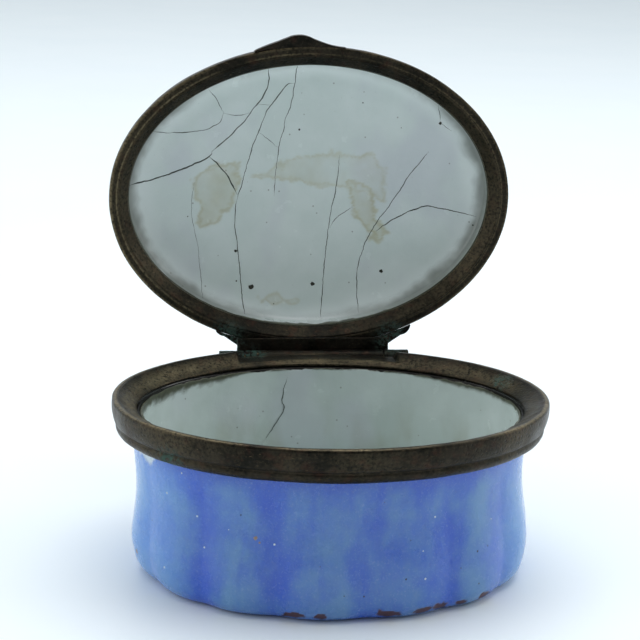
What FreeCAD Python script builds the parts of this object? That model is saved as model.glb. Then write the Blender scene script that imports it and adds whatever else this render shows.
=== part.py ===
"""Oval enamel pill box: a hinged lid over a fluted tub, each set in a gilt-metal mount.

Millimetres, +Z up.  The origin is the middle of the flat base, +X runs along the long axis
of the oval and -Y is the front, where the thumbpiece is.  The lid stands open at a right
angle on its hinge stop.
"""
import FreeCAD, Part

import math
import os

import Sketcher
from FreeCAD import Placement, Rotation, Vector

DIMENSIONS = (
    # alias, value, meaning
    ("rim_half_width", 22.5, "half width of the tub mount at its crest"),
    ("rim_half_depth", 17.05, "half depth of the tub mount at its crest"),
    ("rim_height", 18.6, "height of the crest above the base"),
    ("seam_gap", 0.05, "gap between the crests when the lid is shut"),
    ("base_half_width", 20.8, "outside of the tub above its rounded foot"),
    ("base_half_depth", 15.4, "outside of the tub above its rounded foot, front to back"),
    ("belly_half_width", 20.75, "outside of the tub at its belly"),
    ("waist_half_width", 20.05, "outside of the tub at its waist"),
    ("neck_half_width", 20.4, "outside of the tub where the mount grips it"),
    ("belly_height", 4.2, "height of the belly"),
    ("turn_height", 7.6, "height where the belly's curve meets the waist's"),
    ("waist_height", 10.6, "height of the waist"),
    ("neck_height", 14.4, "height of the neck"),
    ("foot_flat", 3.2, "width of the foot's flat rim, from the outside of the tub"),
    ("floor_overlap", 0.6, "width that the floor runs into the swept wall"),
    ("wall_top", 17.05, "top of the tub wall, under the bezel lip"),
    ("foot_round", 2.2, "radius round the foot of the tub"),
    ("outer_enamel", 0.3, "thickness of the outer enamel"),
    ("copper", 0.4, "thickness of the copper"),
    ("inner_enamel", 0.25, "thickness of the inner enamel"),
    ("lid_half_width", 22.3, "half width of the lid mount"),
    ("lid_half_depth", 16.9, "half depth of the lid mount"),
    ("dome_half_width", 21.05, "outside of the dome at its skirt"),
    ("dome_half_depth", 15.65, "outside of the dome at its skirt"),
    ("dome_foot", 1.4, "height of the dome's edge above the lid's crest"),
    ("dome_spring", 2.7, "height where the dome springs from its skirt"),
    ("dome_rise", 3.6, "rise of the dome above its spring"),
    ("hinge_back", 17.7, "distance of the hinge axis behind the middle"),
    ("hinge_drop", 1.4, "distance of the hinge axis below the crest"),
    ("hinge_offset", 0.6, "hinge middle, right of the box middle"),
    ("open_angle", 90.0, "angle of the open lid"),
    ("knuckle_radius", 0.8, "outer radius of the knuckles"),
    ("pin_radius", 0.35, "radius of the hinge pin"),
    ("pin_clearance", 0.05, "radial clearance of the pin in the lid's knuckle"),
    ("lid_knuckle_length", 15.6, "length of the lid's knuckle"),
    ("knuckle_length", 2.8, "length of each tub knuckle"),
    ("knuckle_gap", 0.1, "gap between neighbouring knuckles"),
    ("pin_length", 21.6, "length of the hinge pin"),
    ("swing_gap", 0.2, "room round the lid's knuckle in the tub's mount"),
    ("stop_gap", 0.05, "gap over the ledge that stops the lid"),
    ("notch_depth", 0.8, "depth of the hinge notch in the crest"),
    ("notch_half_width", 8.75, "half width of the hinge notch"),
    ("notch_front", 13.0, "distance of the notch's front behind the middle"),
    ("notch_run", 6.0, "length of the notch, front to back"),
    ("leaf_thickness", 0.5, "thickness of the lid's hinge leaf"),
    ("crest_plate_reach", 1.15, "reach of the leaf's plate over the lid's crest"),
    ("crest_plate_thickness", 0.5, "thickness of the plate over the lid's crest"),
    ("crest_plate_room", 0.15, "room beside the plate in the hinge notch"),
    ("web_root", 0.35, "start of the leaf's web in front of the hinge axis"),
    ("web_overlap", 0.2, "depth that the web runs into the leaf"),
    ("ledge_thickness", 0.65, "thickness of the tub's hinge ledge"),
    ("ledge_reach", 1.3, "reach of the ledge behind the hinge axis"),
    ("ledge_front", 12.5, "front of the ledge before it is cut to the mount's flank"),
    ("ledge_shoulder", 16.6, "where the ledge's ends start to round"),
    ("ledge_taper", 1.2, "length that the rounded ends take off the ledge's back edge"),
    ("ledge_corner", 0.35, "how far the rounded ends bow inside a square corner"),
    ("saddle_overlap", 0.1, "depth that a saddle runs into the ledge and the knuckle's seat"),
    ("solder_gap", 0.05, "thickness of solder between a mount's flank and what it carries"),
    ("thumb_offset", -1.8, "thumbpiece, left of the box middle"),
    ("thumb_half_width", 5.0, "half width of the thumbpiece"),
    ("thumb_reach", 2.0, "reach of the thumbpiece beyond the lid"),
    ("thumb_lift", 0.1, "height of the thumbpiece's underside above the lid's crest"),
    ("thumb_thickness", 0.9, "thickness of the thumbpiece"),
)

# Sections of the rings, as (distance in from the outer edge, distance from the crest).
# A three-part step is an arc through a middle point.
TUB_BAND = (
    (0.30, 0.0),
    ((0.08, -0.09), (0.0, -0.35)),
    ((0.03, -1.35), (0.28, -2.30)),
    (0.50, -2.50),
    (0.40, -2.68),
    ((0.47, -3.20), (0.85, -3.60)),
    (2.00, -3.60),
    (2.00, -3.25),
    (1.15, -3.25),
    (0.95, -2.60),
    (0.62, -0.90),
    (0.62, -0.42),
    (0.55, 0.0),
)
TUB_BEZEL = (
    (0.55, 0.0),
    (2.45, -1.15),
    ((2.53, -1.30), (2.45, -1.45)),
    (2.20, -1.45),
    (2.12, -1.29),
    (0.62, -0.42),
)
LID_BAND = (
    (0.22, 0.0),
    ((0.06, 0.06), (0.0, 0.22)),
    ((0.02, 1.20), (0.22, 2.15)),
    (0.42, 2.32),
    (0.34, 2.48),
    ((0.42, 2.95), (0.80, 3.30)),
    (1.42, 3.30),
    (1.20, 2.95),
    (0.95, 2.60),
    (0.60, 0.60),
    (0.95, 0.35),
    (0.95, 0.0),
)
LID_BEZEL = (
    (0.95, 0.0),
    (1.10, 0.0),
    (2.05, 1.00),
    ((2.12, 1.16), (2.05, 1.32)),
    (1.80, 1.32),
    (0.95, 0.42),
)

# Half of the lid's hinge leaf, as (distance from the hinge's middle, distance behind the box's).
LEAF_SIDE = (
    (10.9, 13.6),
    ((11.0, 15.0), (10.1, 15.6)),
)
LEAF_WAIST = 17.2

# The thumbpiece's ogee, as shares of its half width and of its reach beyond the lid's edge.
THUMB_OGEE = (
    (-1.0, 0.33),
    ((-0.55, -0.36), (-0.25, -0.80)),
    ((0.0, -1.0), (0.25, -0.80)),
    ((0.55, -0.36), (1.0, -0.04)),
)
THUMB_ROOT = 1.5

doc = FreeCAD.newDocument("pill_box")
sheet = doc.addObject("Spreadsheet::Sheet", "dims")
for row, (alias, value, meaning) in enumerate(DIMENSIONS, start=1):
    sheet.set(f"A{row}", meaning)
    sheet.set(f"B{row}", str(value))
    sheet.setAlias(f"B{row}", alias)
doc.recompute()

nodes = []


def dim(alias):
    """Read one driving dimension from the sheet."""
    return float(sheet.get(alias))


def new_body(label):
    """Start a sub-part."""
    body = doc.addObject("PartDesign::Body", label)
    body.Label = label
    nodes.append(body)
    return body


def new_sketch(body, name, role="XY_Plane", lift=None):
    """Make a sketch on an origin plane of its own body, raised along the plane's normal."""
    sketch = body.newObject("Sketcher::SketchObject", f"{body.Label}_{name}")
    plane = next(item for item in body.Origin.OriginFeatures if item.Role == role)
    sketch.AttachmentSupport = [(plane, "")]
    sketch.MapMode = "FlatFace"
    if lift:
        sketch.setExpression("AttachmentOffset.Base.z", lift)
    return sketch


def oval_sketch(body, name, half_width, half_depth, lift="0"):
    """Draw an ellipse about the body's Z axis, its two sizes bound to expressions."""
    sketch = new_sketch(body, name, lift=lift)
    middle = Vector(0, 0, 0)
    sketch.addGeometry(Part.Ellipse(Vector(20, 0, 0), Vector(0, 15, 0), middle), False)
    sketch.exposeInternalGeometry(0)
    sketch.addConstraint(Sketcher.Constraint("Coincident", 0, 3, -1, 1))
    sketch.addConstraint(Sketcher.Constraint("Horizontal", 1))
    sizes = (("full_width", 1, half_width), ("full_depth", 2, half_depth))
    for constraint_name, line, half_size in sizes:
        index = sketch.addConstraint(Sketcher.Constraint("Distance", line, 30.0 + line))
        sketch.renameConstraint(index, constraint_name)
        sketch.setExpression(f"Constraints.{constraint_name}", f"2 * ({half_size})")
    return sketch


def outline_sketch(body, name, role, points, lift=None):
    """Draw a closed outline.  A step is a point, or a pair (middle, end) for an arc."""
    sketch = new_sketch(body, name, role, lift)
    start = Vector(*points[0], 0)
    here = start
    for step in points[1:]:
        if isinstance(step[0], tuple):
            middle, end = (Vector(*point, 0) for point in step)
            sketch.addGeometry(Part.Arc(here, middle, end), False)
        else:
            end = Vector(*step, 0)
            sketch.addGeometry(Part.LineSegment(here, end), False)
        here = end
    if not here.isEqual(start, 1e-6):
        sketch.addGeometry(Part.LineSegment(here, start), False)
    return sketch


def flipped_inward(section):
    """Turn distances in from an edge into sketch coordinates, which grow outward."""
    turned = []
    for step in section:
        if isinstance(step[0], tuple):
            turned.append(tuple((-inward, up) for inward, up in step))
        else:
            turned.append((-step[0], step[1]))
    return turned


def ring_body(label, section, half_width, half_depth):
    """Sweep a section round an oval, as a mount's strip is bent round the box."""
    body = new_body(label)
    path = oval_sketch(body, "path", half_width, half_depth)
    profile = outline_sketch(body, "section", "XZ_Plane", flipped_inward(section))
    profile.setExpression("AttachmentOffset.Base.x", half_width)
    doc.recompute()
    sweep = body.newObject("PartDesign::AdditivePipe", f"{label}_sweep")
    sweep.Profile = profile
    sweep.Spine = (path, ["Edge1"])
    sweep.Mode = "Frenet"
    return body


def box_cut(body, name, corner, size):
    """Cut a box out of a body, with expressions for its corner and its size."""
    block = body.newObject("PartDesign::SubtractiveBox", f"{body.Label}_{name}")
    for key, expression in zip(("Length", "Width", "Height"), size):
        block.setExpression(key, expression)
    for key, expression in zip("xyz", corner):
        block.setExpression(f"Placement.Base.{key}", expression)


def axle(body, kind, name, radius, length, middle="dims.hinge_offset", drop="-dims.hinge_drop"):
    """Add or cut a cylinder along the hinge axis, about a middle along X."""
    rod = body.newObject(f"PartDesign::{kind}Cylinder", f"{body.Label}_{name}")
    rod.Placement = Placement(Vector(), Rotation(Vector(0, 1, 0), 90))
    rod.setExpression("Radius", radius)
    rod.setExpression("Height", length)
    rod.setExpression("Placement.Base.x", f"{middle} - ({length}) / 2")
    rod.setExpression("Placement.Base.y", "dims.hinge_back")
    rod.setExpression("Placement.Base.z", drop)
    return rod


# Tub: copper raised to shape, blue enamel fired outside and white enamel inside.

def dim_sum(expression):
    """Work out a sum of sheet names, as written for setExpression."""
    terms = (term.strip() for term in expression.split("+"))
    total = 0.0
    for term in terms:
        total += dim(term[len("dims."):]) if term.startswith("dims.") else float(term)
    return total


def tub_side(depth):
    """Give the tub's outline from the middle of the foot up to the wall's top, at a depth."""
    foot = dim("foot_round")
    bend = foot - depth
    neck = dim("base_half_width") - dim("neck_half_width")
    waist = dim("base_half_width") - dim("waist_half_width")
    belly = dim("base_half_width") - dim("belly_half_width")
    turn = (neck + waist) / 2
    knee = bend * (1 - math.sqrt(0.5))
    return [
        (dim("foot_flat"), depth),
        (foot, depth),
        ((depth + knee, depth + knee), (depth, foot)),
        ((belly + depth, dim("belly_height")), (turn + depth, dim("turn_height"))),
        ((waist + depth, dim("waist_height")), (neck + depth, dim("neck_height"))),
        (neck + depth, dim("wall_top")),
    ]


def reversed_outline(points):
    """Walk an outline the other way."""
    ends = [step[1] if isinstance(step[0], tuple) else step for step in points]
    middles = [step[0] if isinstance(step[0], tuple) else None for step in points]
    walked = [ends[-1]]
    for index in range(len(points) - 1, 0, -1):
        end = ends[index - 1]
        walked.append((middles[index], end) if middles[index] else end)
    return walked


def tub_layer(label, outside, inside):
    """Build one layer of the tub between two depths below its outer surface."""
    section = tub_side(dim_sum(outside)) + reversed_outline(tub_side(dim_sum(inside)))
    body = ring_body(label, section, "dims.base_half_width", "dims.base_half_depth")
    across = "dims.base_half_width - dims.foot_flat + dims.floor_overlap"
    along = "dims.base_half_depth - dims.foot_flat + dims.floor_overlap"
    oval = oval_sketch(body, "floor", across, along, outside)
    floor = body.newObject("PartDesign::Pad", f"{label}_floor_plate")
    floor.Profile = oval
    floor.setExpression("Length", f"{inside} - ({outside})")
    return body


LAYER_DEPTHS = (
    "0",
    "dims.outer_enamel",
    "dims.outer_enamel + dims.copper",
    "dims.outer_enamel + dims.copper + dims.inner_enamel",
)
LAYERS = ("outer_enamel", "copper", "inner_enamel")


def build_tub():
    """Build the three layers of the tub."""
    for layer, outside, inside in zip(LAYERS, LAYER_DEPTHS, LAYER_DEPTHS[1:]):
        tub_layer(f"body_{layer}", outside, inside)


# Lid: the same three layers as a low dome on a short upright skirt.


def dome_half(body, kind, name, depth):
    """Add or cut the upper half of an ellipsoid, at a depth inside the dome's surface."""
    dome = body.newObject(f"PartDesign::{kind}Ellipsoid", f"{body.Label}_{name}_dome")
    dome.setExpression("Radius1", f"dims.dome_rise - ({depth})")
    dome.setExpression("Radius2", f"dims.dome_half_width - ({depth})")
    dome.setExpression("Radius3", f"dims.dome_half_depth - ({depth})")
    dome.setExpression("Placement.Base.z", "dims.dome_spring")
    dome.Angle1 = 0
    return dome


def skirt(body, kind, name, depth):
    """Add or cut the skirt below the dome."""
    across = f"dims.dome_half_width - ({depth})"
    along = f"dims.dome_half_depth - ({depth})"
    oval = oval_sketch(body, f"{name}_skirt", across, along, "dims.dome_foot")
    length = body.newObject(f"PartDesign::{kind}", f"{body.Label}_{name}_wall")
    length.Profile = oval
    length.setExpression("Length", "dims.dome_spring - dims.dome_foot")
    length.Reversed = kind == "Pocket"
    return length


def lid_layer(label, outside, inside):
    """Build one layer of the lid between two depths below its outer surface."""
    body = new_body(label)
    skirt(body, "Pad", "outside", outside)
    dome_half(body, "Additive", "outside", outside)
    skirt(body, "Pocket", "inside", inside)
    dome_half(body, "Subtractive", "inside", inside)
    return body


def build_lid():
    """Build the three layers of the lid."""
    return [
        lid_layer(f"lid_{layer}", outside, inside)
        for layer, outside, inside in zip(LAYERS, LAYER_DEPTHS, LAYER_DEPTHS[1:])
    ]


# Mounts: a moulded outer band and a sloping inner bezel on the tub and on the lid.


def cut_notch(body):
    """Lower a ring's crest behind, where the lid's leaf lies when the box is shut."""
    corner = ("dims.hinge_offset - dims.notch_half_width", "dims.notch_front", "-dims.notch_depth")
    size = ("2 * dims.notch_half_width", "dims.notch_run", "2 * dims.notch_depth")
    box_cut(body, "notch", corner, size)


def build_mounts():
    """Build the four rings and cut the hinge notch and the knuckle's channel."""
    band = ring_body("body_mount", TUB_BAND, "dims.rim_half_width", "dims.rim_half_depth")
    room = "dims.knuckle_radius + dims.swing_gap"
    run = "dims.lid_knuckle_length + 2 * dims.knuckle_gap + 2 * dims.knuckle_length"
    axle(band, "Subtractive", "channel", room, run)
    cut_notch(band)
    bezel = ring_body("body_bezel", TUB_BEZEL, "dims.rim_half_width", "dims.rim_half_depth")
    cut_notch(bezel)
    lid_band = ring_body("lid_mount", LID_BAND, "dims.lid_half_width", "dims.lid_half_depth")
    lid_bezel = ring_body("lid_bezel", LID_BEZEL, "dims.lid_half_width", "dims.lid_half_depth")
    return [band, bezel], [lid_band, lid_bezel]


# Hinge: a ledge and two knuckles on the tub, a leaf and one knuckle on the lid, one pin.


# Where the oval cuts start below the crest and how far up they run: past the whole piece.
BELOW_CREST, FLANK_RUN = "-6", "8"
BELOW_LEAF, LEAF_RUN = "-3", "6"


def oval_cut(body, name, half_width, half_depth, low, length):
    """Cut an oval prism out of a body, so that it fits against a mount's flank."""
    across = f"{half_width} + dims.solder_gap"
    along = f"{half_depth} + dims.solder_gap"
    oval = oval_sketch(body, name, across, along, low)
    pocket = body.newObject("PartDesign::Pocket", f"{body.Label}_{name}_cut")
    pocket.Profile = oval
    pocket.setExpression("Length", length)
    pocket.Reversed = True
    return pocket


def build_hinge_ledge():
    """Build the tub's half of the hinge: a ledge under the barrel with a saddle at each end."""
    body = new_body("body_hinge_plate")
    half_run = dim("lid_knuckle_length") / 2 + dim("knuckle_gap") + dim("knuckle_length")
    left = dim("hinge_offset") - half_run
    right = dim("hinge_offset") + half_run
    front = dim("ledge_front")
    shoulder = dim("ledge_shoulder")
    back = dim("hinge_back") + dim("ledge_reach")
    taper = dim("ledge_taper")
    corner = dim("ledge_corner")
    ledge_top = dim("hinge_drop") + dim("knuckle_radius") + dim("stop_gap")
    outline = (
        (left, front),
        (right, front),
        (right, shoulder),
        ((right - corner, back - corner), (right - taper, back)),
        (left + taper, back),
        ((left + corner, back - corner), (left, shoulder)),
    )
    plan = outline_sketch(body, "plan", "XY_Plane", outline, str(-ledge_top))
    ledge = body.newObject("PartDesign::Pad", "body_hinge_plate_ledge")
    ledge.Profile = plan
    ledge.setExpression("Length", "dims.ledge_thickness")
    ledge.Reversed = True
    doc.recompute()
    for side, sign in (("left", -1), ("right", 1)):
        saddle = body.newObject("PartDesign::AdditiveBox", f"body_hinge_plate_saddle_{side}")
        saddle.setExpression("Length", "dims.knuckle_length")
        saddle.setExpression("Width", "dims.hinge_back - dims.saddle_overlap - dims.ledge_front")
        saddle.Height = ledge_top - dim("hinge_drop") + dim("saddle_overlap")
        saddle.setExpression("Placement.Base.x", f"{knuckle_middle(sign)} - dims.knuckle_length / 2")
        saddle.setExpression("Placement.Base.y", "dims.ledge_front")
        saddle.Placement.Base.z = -ledge_top - dim("saddle_overlap")
    axle(body, "Subtractive", "seat", "dims.knuckle_radius", "dims.rim_half_width * 2")
    oval_cut(body, "flank", "dims.rim_half_width", "dims.rim_half_depth", BELOW_CREST, FLANK_RUN)
    return body


def knuckle_middle(sign):
    """Give the middle of a tub knuckle along X: -1 for the left one, 1 for the right."""
    reach = "(dims.lid_knuckle_length + dims.knuckle_length) / 2 + dims.knuckle_gap"
    return f"dims.hinge_offset + ({sign}) * ({reach})"


def build_knuckle(label, length, middle, bore):
    """Roll one knuckle: a tube on the hinge axis."""
    body = new_body(label)
    axle(body, "Additive", "tube", "dims.knuckle_radius", length, middle)
    axle(body, "Subtractive", "bore", bore, f"{length} + 2 * dims.knuckle_radius", middle)
    return body


def build_tub_knuckles():
    """Build the two knuckles of the tub."""
    length = "dims.knuckle_length"
    left = build_knuckle("body_knuckle_left", length, knuckle_middle(-1), "dims.pin_radius")
    right = build_knuckle("body_knuckle_right", length, knuckle_middle(1), "dims.pin_radius")
    return [left, right]


def build_pin():
    """Build the hinge pin."""
    body = new_body("hinge_pin")
    axle(body, "Additive", "rod", "dims.pin_radius", "dims.pin_length")
    return body


def leaf_outline():
    """Give the leaf's outline: broad against the lid's flank and narrow at its knuckle."""
    middle = dim("hinge_offset")
    root = dim("lid_knuckle_length") / 2
    tail = dim("hinge_back") + dim("knuckle_radius")
    side = LEAF_SIDE + ((root, LEAF_WAIST), (root, tail))
    right = [moved(step, middle, 1) for step in side]
    left = [moved(step, middle, -1) for step in side]
    return right + reversed_outline(left)


def moved(step, middle, sign):
    """Place a step of half an outline on one side of a middle line."""
    if isinstance(step[0], tuple):
        return tuple(moved(point, middle, sign) for point in step)
    return middle + sign * step[0], step[1]


def add_block(body, name, corner, size):
    """Add a box to a body, with expressions for its corner and its size."""
    block = body.newObject("PartDesign::AdditiveBox", f"{body.Label}_{name}")
    for key, expression in zip(("Length", "Width", "Height"), size):
        block.setExpression(key, expression)
    for key, expression in zip("xyz", corner):
        block.setExpression(f"Placement.Base.{key}", expression)


def build_lid_hinge():
    """Build the lid's half of the hinge: a leaf, its web, its plate on the crest, a knuckle."""
    leaf = new_body("lid_hinge_plate")
    plan = outline_sketch(leaf, "plan", "XY_Plane", leaf_outline())
    plate = leaf.newObject("PartDesign::Pad", "lid_hinge_plate_leaf")
    plate.Profile = plan
    plate.setExpression("Length", "dims.leaf_thickness")
    oval_cut(leaf, "flank", "dims.lid_half_width", "dims.lid_half_depth", BELOW_LEAF, LEAF_RUN)
    axis_drop = "-dims.hinge_drop - dims.seam_gap"
    web_front = "dims.hinge_back - dims.web_root"
    web_corner = ("dims.hinge_offset - dims.lid_knuckle_length / 2", web_front, axis_drop)
    web_height = "dims.hinge_drop + dims.seam_gap + dims.web_overlap"
    web_size = ("dims.lid_knuckle_length", "dims.knuckle_radius + dims.web_root", web_height)
    add_block(leaf, "web", web_corner, web_size)
    half = "(dims.notch_half_width - dims.crest_plate_room)"
    front = "dims.lid_half_depth - dims.crest_plate_reach"
    back = "dims.hinge_back - dims.web_root + dims.web_overlap"
    plate_corner = (f"dims.hinge_offset - {half}", front, "-dims.crest_plate_thickness")
    plate_height = "dims.crest_plate_thickness - dims.solder_gap"
    add_block(leaf, "crest_plate", plate_corner, (f"2 * {half}", f"{back} - ({front})", plate_height))
    axle(leaf, "Subtractive", "seat", "dims.knuckle_radius", "dims.lid_half_width * 2", drop=axis_drop)
    knuckle = new_body("lid_knuckle")
    length = "dims.lid_knuckle_length"
    axle(knuckle, "Additive", "tube", "dims.knuckle_radius", length, drop=axis_drop)
    bore = "dims.pin_radius + dims.pin_clearance"
    axle(knuckle, "Subtractive", "bore", bore, f"{length} + 2 * dims.knuckle_radius", drop=axis_drop)
    return [leaf, knuckle]


def build_thumbpiece():
    """Build the thumbpiece: a flat ogee lip soldered to the front of the lid's mount."""
    body = new_body("thumbpiece")
    edge = -dim("lid_half_depth")
    middle = dim("thumb_offset")
    half = dim("thumb_half_width")
    reach = dim("thumb_reach")

    def scaled(step):
        if isinstance(step[0], tuple):
            return tuple(scaled(point) for point in step)
        return middle + step[0] * half, edge + step[1] * reach

    ogee = [scaled(step) for step in THUMB_OGEE]
    root = edge + THUMB_ROOT
    outline = [(middle - half, root)] + ogee + [(middle + half, root)]
    plan = outline_sketch(body, "plan", "XY_Plane", outline, "dims.thumb_lift")
    plate = body.newObject("PartDesign::Pad", "thumbpiece_plate")
    plate.Profile = plan
    plate.setExpression("Length", "dims.thumb_thickness")
    oval_cut(body, "flank", "dims.lid_half_width", "dims.lid_half_depth", BELOW_LEAF, LEAF_RUN)
    return body


def place(bodies, placement):
    """Put bodies drawn about a crest in their place in the box."""
    for body in bodies:
        body.Placement = placement


def open_lid_placement():
    """Lift the lid to the crest and swing it back about the hinge axis."""
    lift = Placement(Vector(0, 0, dim("rim_height") + dim("seam_gap")), Rotation())
    axis = Vector(0, dim("hinge_back"), dim("rim_height") - dim("hinge_drop"))
    swing = Placement(Vector(), Rotation(Vector(1, 0, 0), -dim("open_angle")), axis)
    return swing.multiply(lift)


def check():
    """Stop if any object failed, or if any sub-part isn't one sound solid."""
    for item in doc.Objects:
        if "Invalid" in item.State or "Error" in item.State:
            raise RuntimeError(f"{item.Label} failed: {item.State}")
    for node in nodes:
        shape = node.Shape
        if shape.isNull() or not shape.isValid() or len(shape.Solids) != 1:
            raise RuntimeError(f"{node.Label} isn't one sound solid")


def write_parts():
    """Write each sub-part to its own file and print its size."""
    os.makedirs("parts", exist_ok=True)
    for node in nodes:
        node.Shape.exportStep(f"parts/{node.Label}.step")
        box = node.Shape.optimalBoundingBox()
        low = f"{box.XMin:8.2f}{box.YMin:8.2f}{box.ZMin:8.2f}"
        high = f"{box.XMax:8.2f}{box.YMax:8.2f}{box.ZMax:8.2f}"
        print(f"{node.Label:20s}{node.Shape.Volume:10.3f} mm3 {low} to{high}")


build_tub()
tub_rings, lid_rings = build_mounts()
on_crest = tub_rings + [build_hinge_ledge()] + build_tub_knuckles() + [build_pin()]
on_lid = build_lid() + lid_rings + build_lid_hinge() + [build_thumbpiece()]
place(on_crest, Placement(Vector(0, 0, dim("rim_height")), Rotation()))
place(on_lid, open_lid_placement())
doc.recompute()
check()
write_parts()
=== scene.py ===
"""Looks of the oval enamel pill box: worn mounts, fluted blue glaze and crazed white enamel.

Metres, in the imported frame.  Most outlines below are in millimetres, as the box is measured,
and MM turns them into metres.  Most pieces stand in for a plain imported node.
"""
import itertools
import math
import random

import bmesh
import bpy
import numpy as np
from mathutils import Matrix, Vector


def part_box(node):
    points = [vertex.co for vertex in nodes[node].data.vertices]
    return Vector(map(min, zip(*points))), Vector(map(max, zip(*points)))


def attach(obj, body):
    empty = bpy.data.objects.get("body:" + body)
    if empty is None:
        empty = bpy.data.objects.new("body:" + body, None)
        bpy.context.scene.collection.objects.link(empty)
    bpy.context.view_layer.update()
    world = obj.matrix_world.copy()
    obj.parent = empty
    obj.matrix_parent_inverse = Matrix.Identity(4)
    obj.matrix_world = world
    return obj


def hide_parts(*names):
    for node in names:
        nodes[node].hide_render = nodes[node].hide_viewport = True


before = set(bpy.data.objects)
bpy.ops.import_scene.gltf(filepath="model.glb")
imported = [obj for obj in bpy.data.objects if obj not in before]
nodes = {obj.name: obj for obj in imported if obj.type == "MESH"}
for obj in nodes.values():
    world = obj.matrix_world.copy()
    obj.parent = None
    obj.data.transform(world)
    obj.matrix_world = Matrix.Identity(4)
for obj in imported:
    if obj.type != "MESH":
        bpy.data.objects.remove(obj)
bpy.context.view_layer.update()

MM = 0.001

# ---------------------------------------------------------------- places read from the frame

_, rim_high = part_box("body_mount")
lid_low, lid_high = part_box("lid_mount")
_, glaze_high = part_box("body_outer_enamel")
pin_low, pin_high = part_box("hinge_pin")
knuckle_low, knuckle_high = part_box("lid_knuckle")

RIM_HEIGHT = rim_high.z / MM
RIM_HALF_WIDTH = 22.5
RIM_HALF_DEPTH = 17.05
LID_HALF_WIDTH = 22.3
LID_HALF_DEPTH = 16.9
LID_FRONT = lid_low.y / MM
LID_MIDDLE = (lid_low.z + lid_high.z) / 2 / MM
TUB_HALF_WIDTH = 20.8
TUB_HALF_DEPTH = 15.4
WALL_TOP = glaze_high.z / MM
HINGE_X = (knuckle_low.x + knuckle_high.x) / 2 / MM
HINGE_BACK = (pin_low.y + pin_high.y) / 2 / MM
HINGE_HEIGHT = (pin_low.z + pin_high.z) / 2 / MM

# Depths of the three layers below the outer surface: blue glaze, copper, white enamel.
GLAZE_DEPTH = 0.3
COPPER_DEPTH = 0.7
ENAMEL_DEPTH = 0.95

# Sections of the mounts, as (distance in from the outer edge, distance from the crest).
# A step that is a pair of points is an arc: through its first point, to its second.
TUB_BAND = (
    (0.30, 0.0),
    ((0.08, -0.09), (0.0, -0.35)),
    ((0.03, -1.35), (0.28, -2.30)),
    (0.50, -2.50),
    (0.40, -2.68),
    ((0.47, -3.20), (0.85, -3.60)),
    (2.00, -3.60),
    (2.00, -3.25),
    (1.15, -3.25),
    (0.95, -2.60),
    (0.62, -0.90),
    (0.62, -0.42),
    (0.55, 0.0),
)
TUB_BEZEL = (
    (0.55, 0.0),
    (2.45, -1.15),
    ((2.53, -1.30), (2.45, -1.45)),
    (2.20, -1.45),
    (2.12, -1.29),
    (0.62, -0.42),
)
LID_BAND = (
    (0.22, 0.0),
    ((0.06, 0.06), (0.0, 0.22)),
    ((0.02, 1.20), (0.22, 2.15)),
    (0.42, 2.32),
    (0.34, 2.48),
    ((0.42, 2.95), (0.80, 3.30)),
    (1.42, 3.30),
    (1.20, 2.95),
    (0.95, 2.60),
    (0.60, 0.60),
    (0.95, 0.35),
    (0.95, 0.0),
)
LID_BEZEL = (
    (0.95, 0.0),
    (1.10, 0.0),
    (2.05, 1.00),
    ((2.12, 1.16), (2.05, 1.32)),
    (1.80, 1.32),
    (0.95, 0.42),
)

# The tub's outer wall from the foot to the top, as (distance in, height).
FOOT_ROUND = 1.8
TUB_WALL = (
    (FOOT_ROUND, 0.0),
    ((0.527, 0.527), (0.0, FOOT_ROUND)),
    ((0.05, 4.2), (0.575, 7.6)),
    ((0.75, 10.6), (0.40, 14.4)),
    (0.40, WALL_TOP),
)

# The dome of the lid, about the lid's middle and measured up from its crest.
DOME_HALF_WIDTH = 21.05
DOME_HALF_DEPTH = 15.65
DOME_FOOT = 1.4
DOME_SPRING = 2.7
DOME_RISE = 3.6
LID_LIP_TOP = 1.32

# ---------------------------------------------------------------- noise and outlines


def lattice_noise(points, size, seed):
    """Give smooth noise between -1 and 1 at points, with lumps of about the given size."""
    cells = points / size + 1000.5
    corner = np.floor(cells).astype(np.int64)
    part = cells - corner
    part = part * part * (3 - 2 * part)
    table = np.random.default_rng(seed).uniform(-1, 1, 4096)
    total = np.zeros(len(points))
    for step in itertools.product((0, 1), repeat=3):
        key = corner + np.array(step)
        hashed = key[:, 0] * 73856093 ^ key[:, 1] * 19349663 ^ key[:, 2] * 83492791
        weight = np.prod(np.where(np.array(step) == 1, part, 1 - part), axis=1)
        total += weight * table[hashed % 4096]
    return total


def rough_noise(points, size, seed, octaves=3):
    """Add finer and finer lattice noise, each half as strong as the last."""
    total = np.zeros(len(points))
    for octave in range(octaves):
        total += lattice_noise(points, size / 2**octave, seed + octave) / 2**octave
    return total


def smooth_step(low, high, values):
    """Rise smoothly from 0 at low to 1 at high."""
    part = np.clip((values - low) / (high - low), 0, 1)
    return part * part * (3 - 2 * part)


def arc_points(start, middle, end, step):
    """Sample the circle through three points, after its start."""
    (ax, ay), (bx, by), (cx, cy) = start, middle, end
    turn = 2 * (ax * (by - cy) + bx * (cy - ay) + cx * (ay - by))
    a2, b2, c2 = ax * ax + ay * ay, bx * bx + by * by, cx * cx + cy * cy
    x = (a2 * (by - cy) + b2 * (cy - ay) + c2 * (ay - by)) / turn
    y = (a2 * (cx - bx) + b2 * (ax - cx) + c2 * (bx - ax)) / turn
    radius = math.hypot(ax - x, ay - y)
    first, via, last = (math.atan2(q - y, p - x) for p, q in (start, middle, end))
    sweep = (last - first) % math.tau
    if (via - first) % math.tau > sweep:
        sweep -= math.tau
    count = max(3, round(abs(sweep) * radius / step))
    angles = [first + sweep * (index + 1) / count for index in range(count)]
    return [(x + radius * math.cos(a), y + radius * math.sin(a)) for a in angles]


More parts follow.
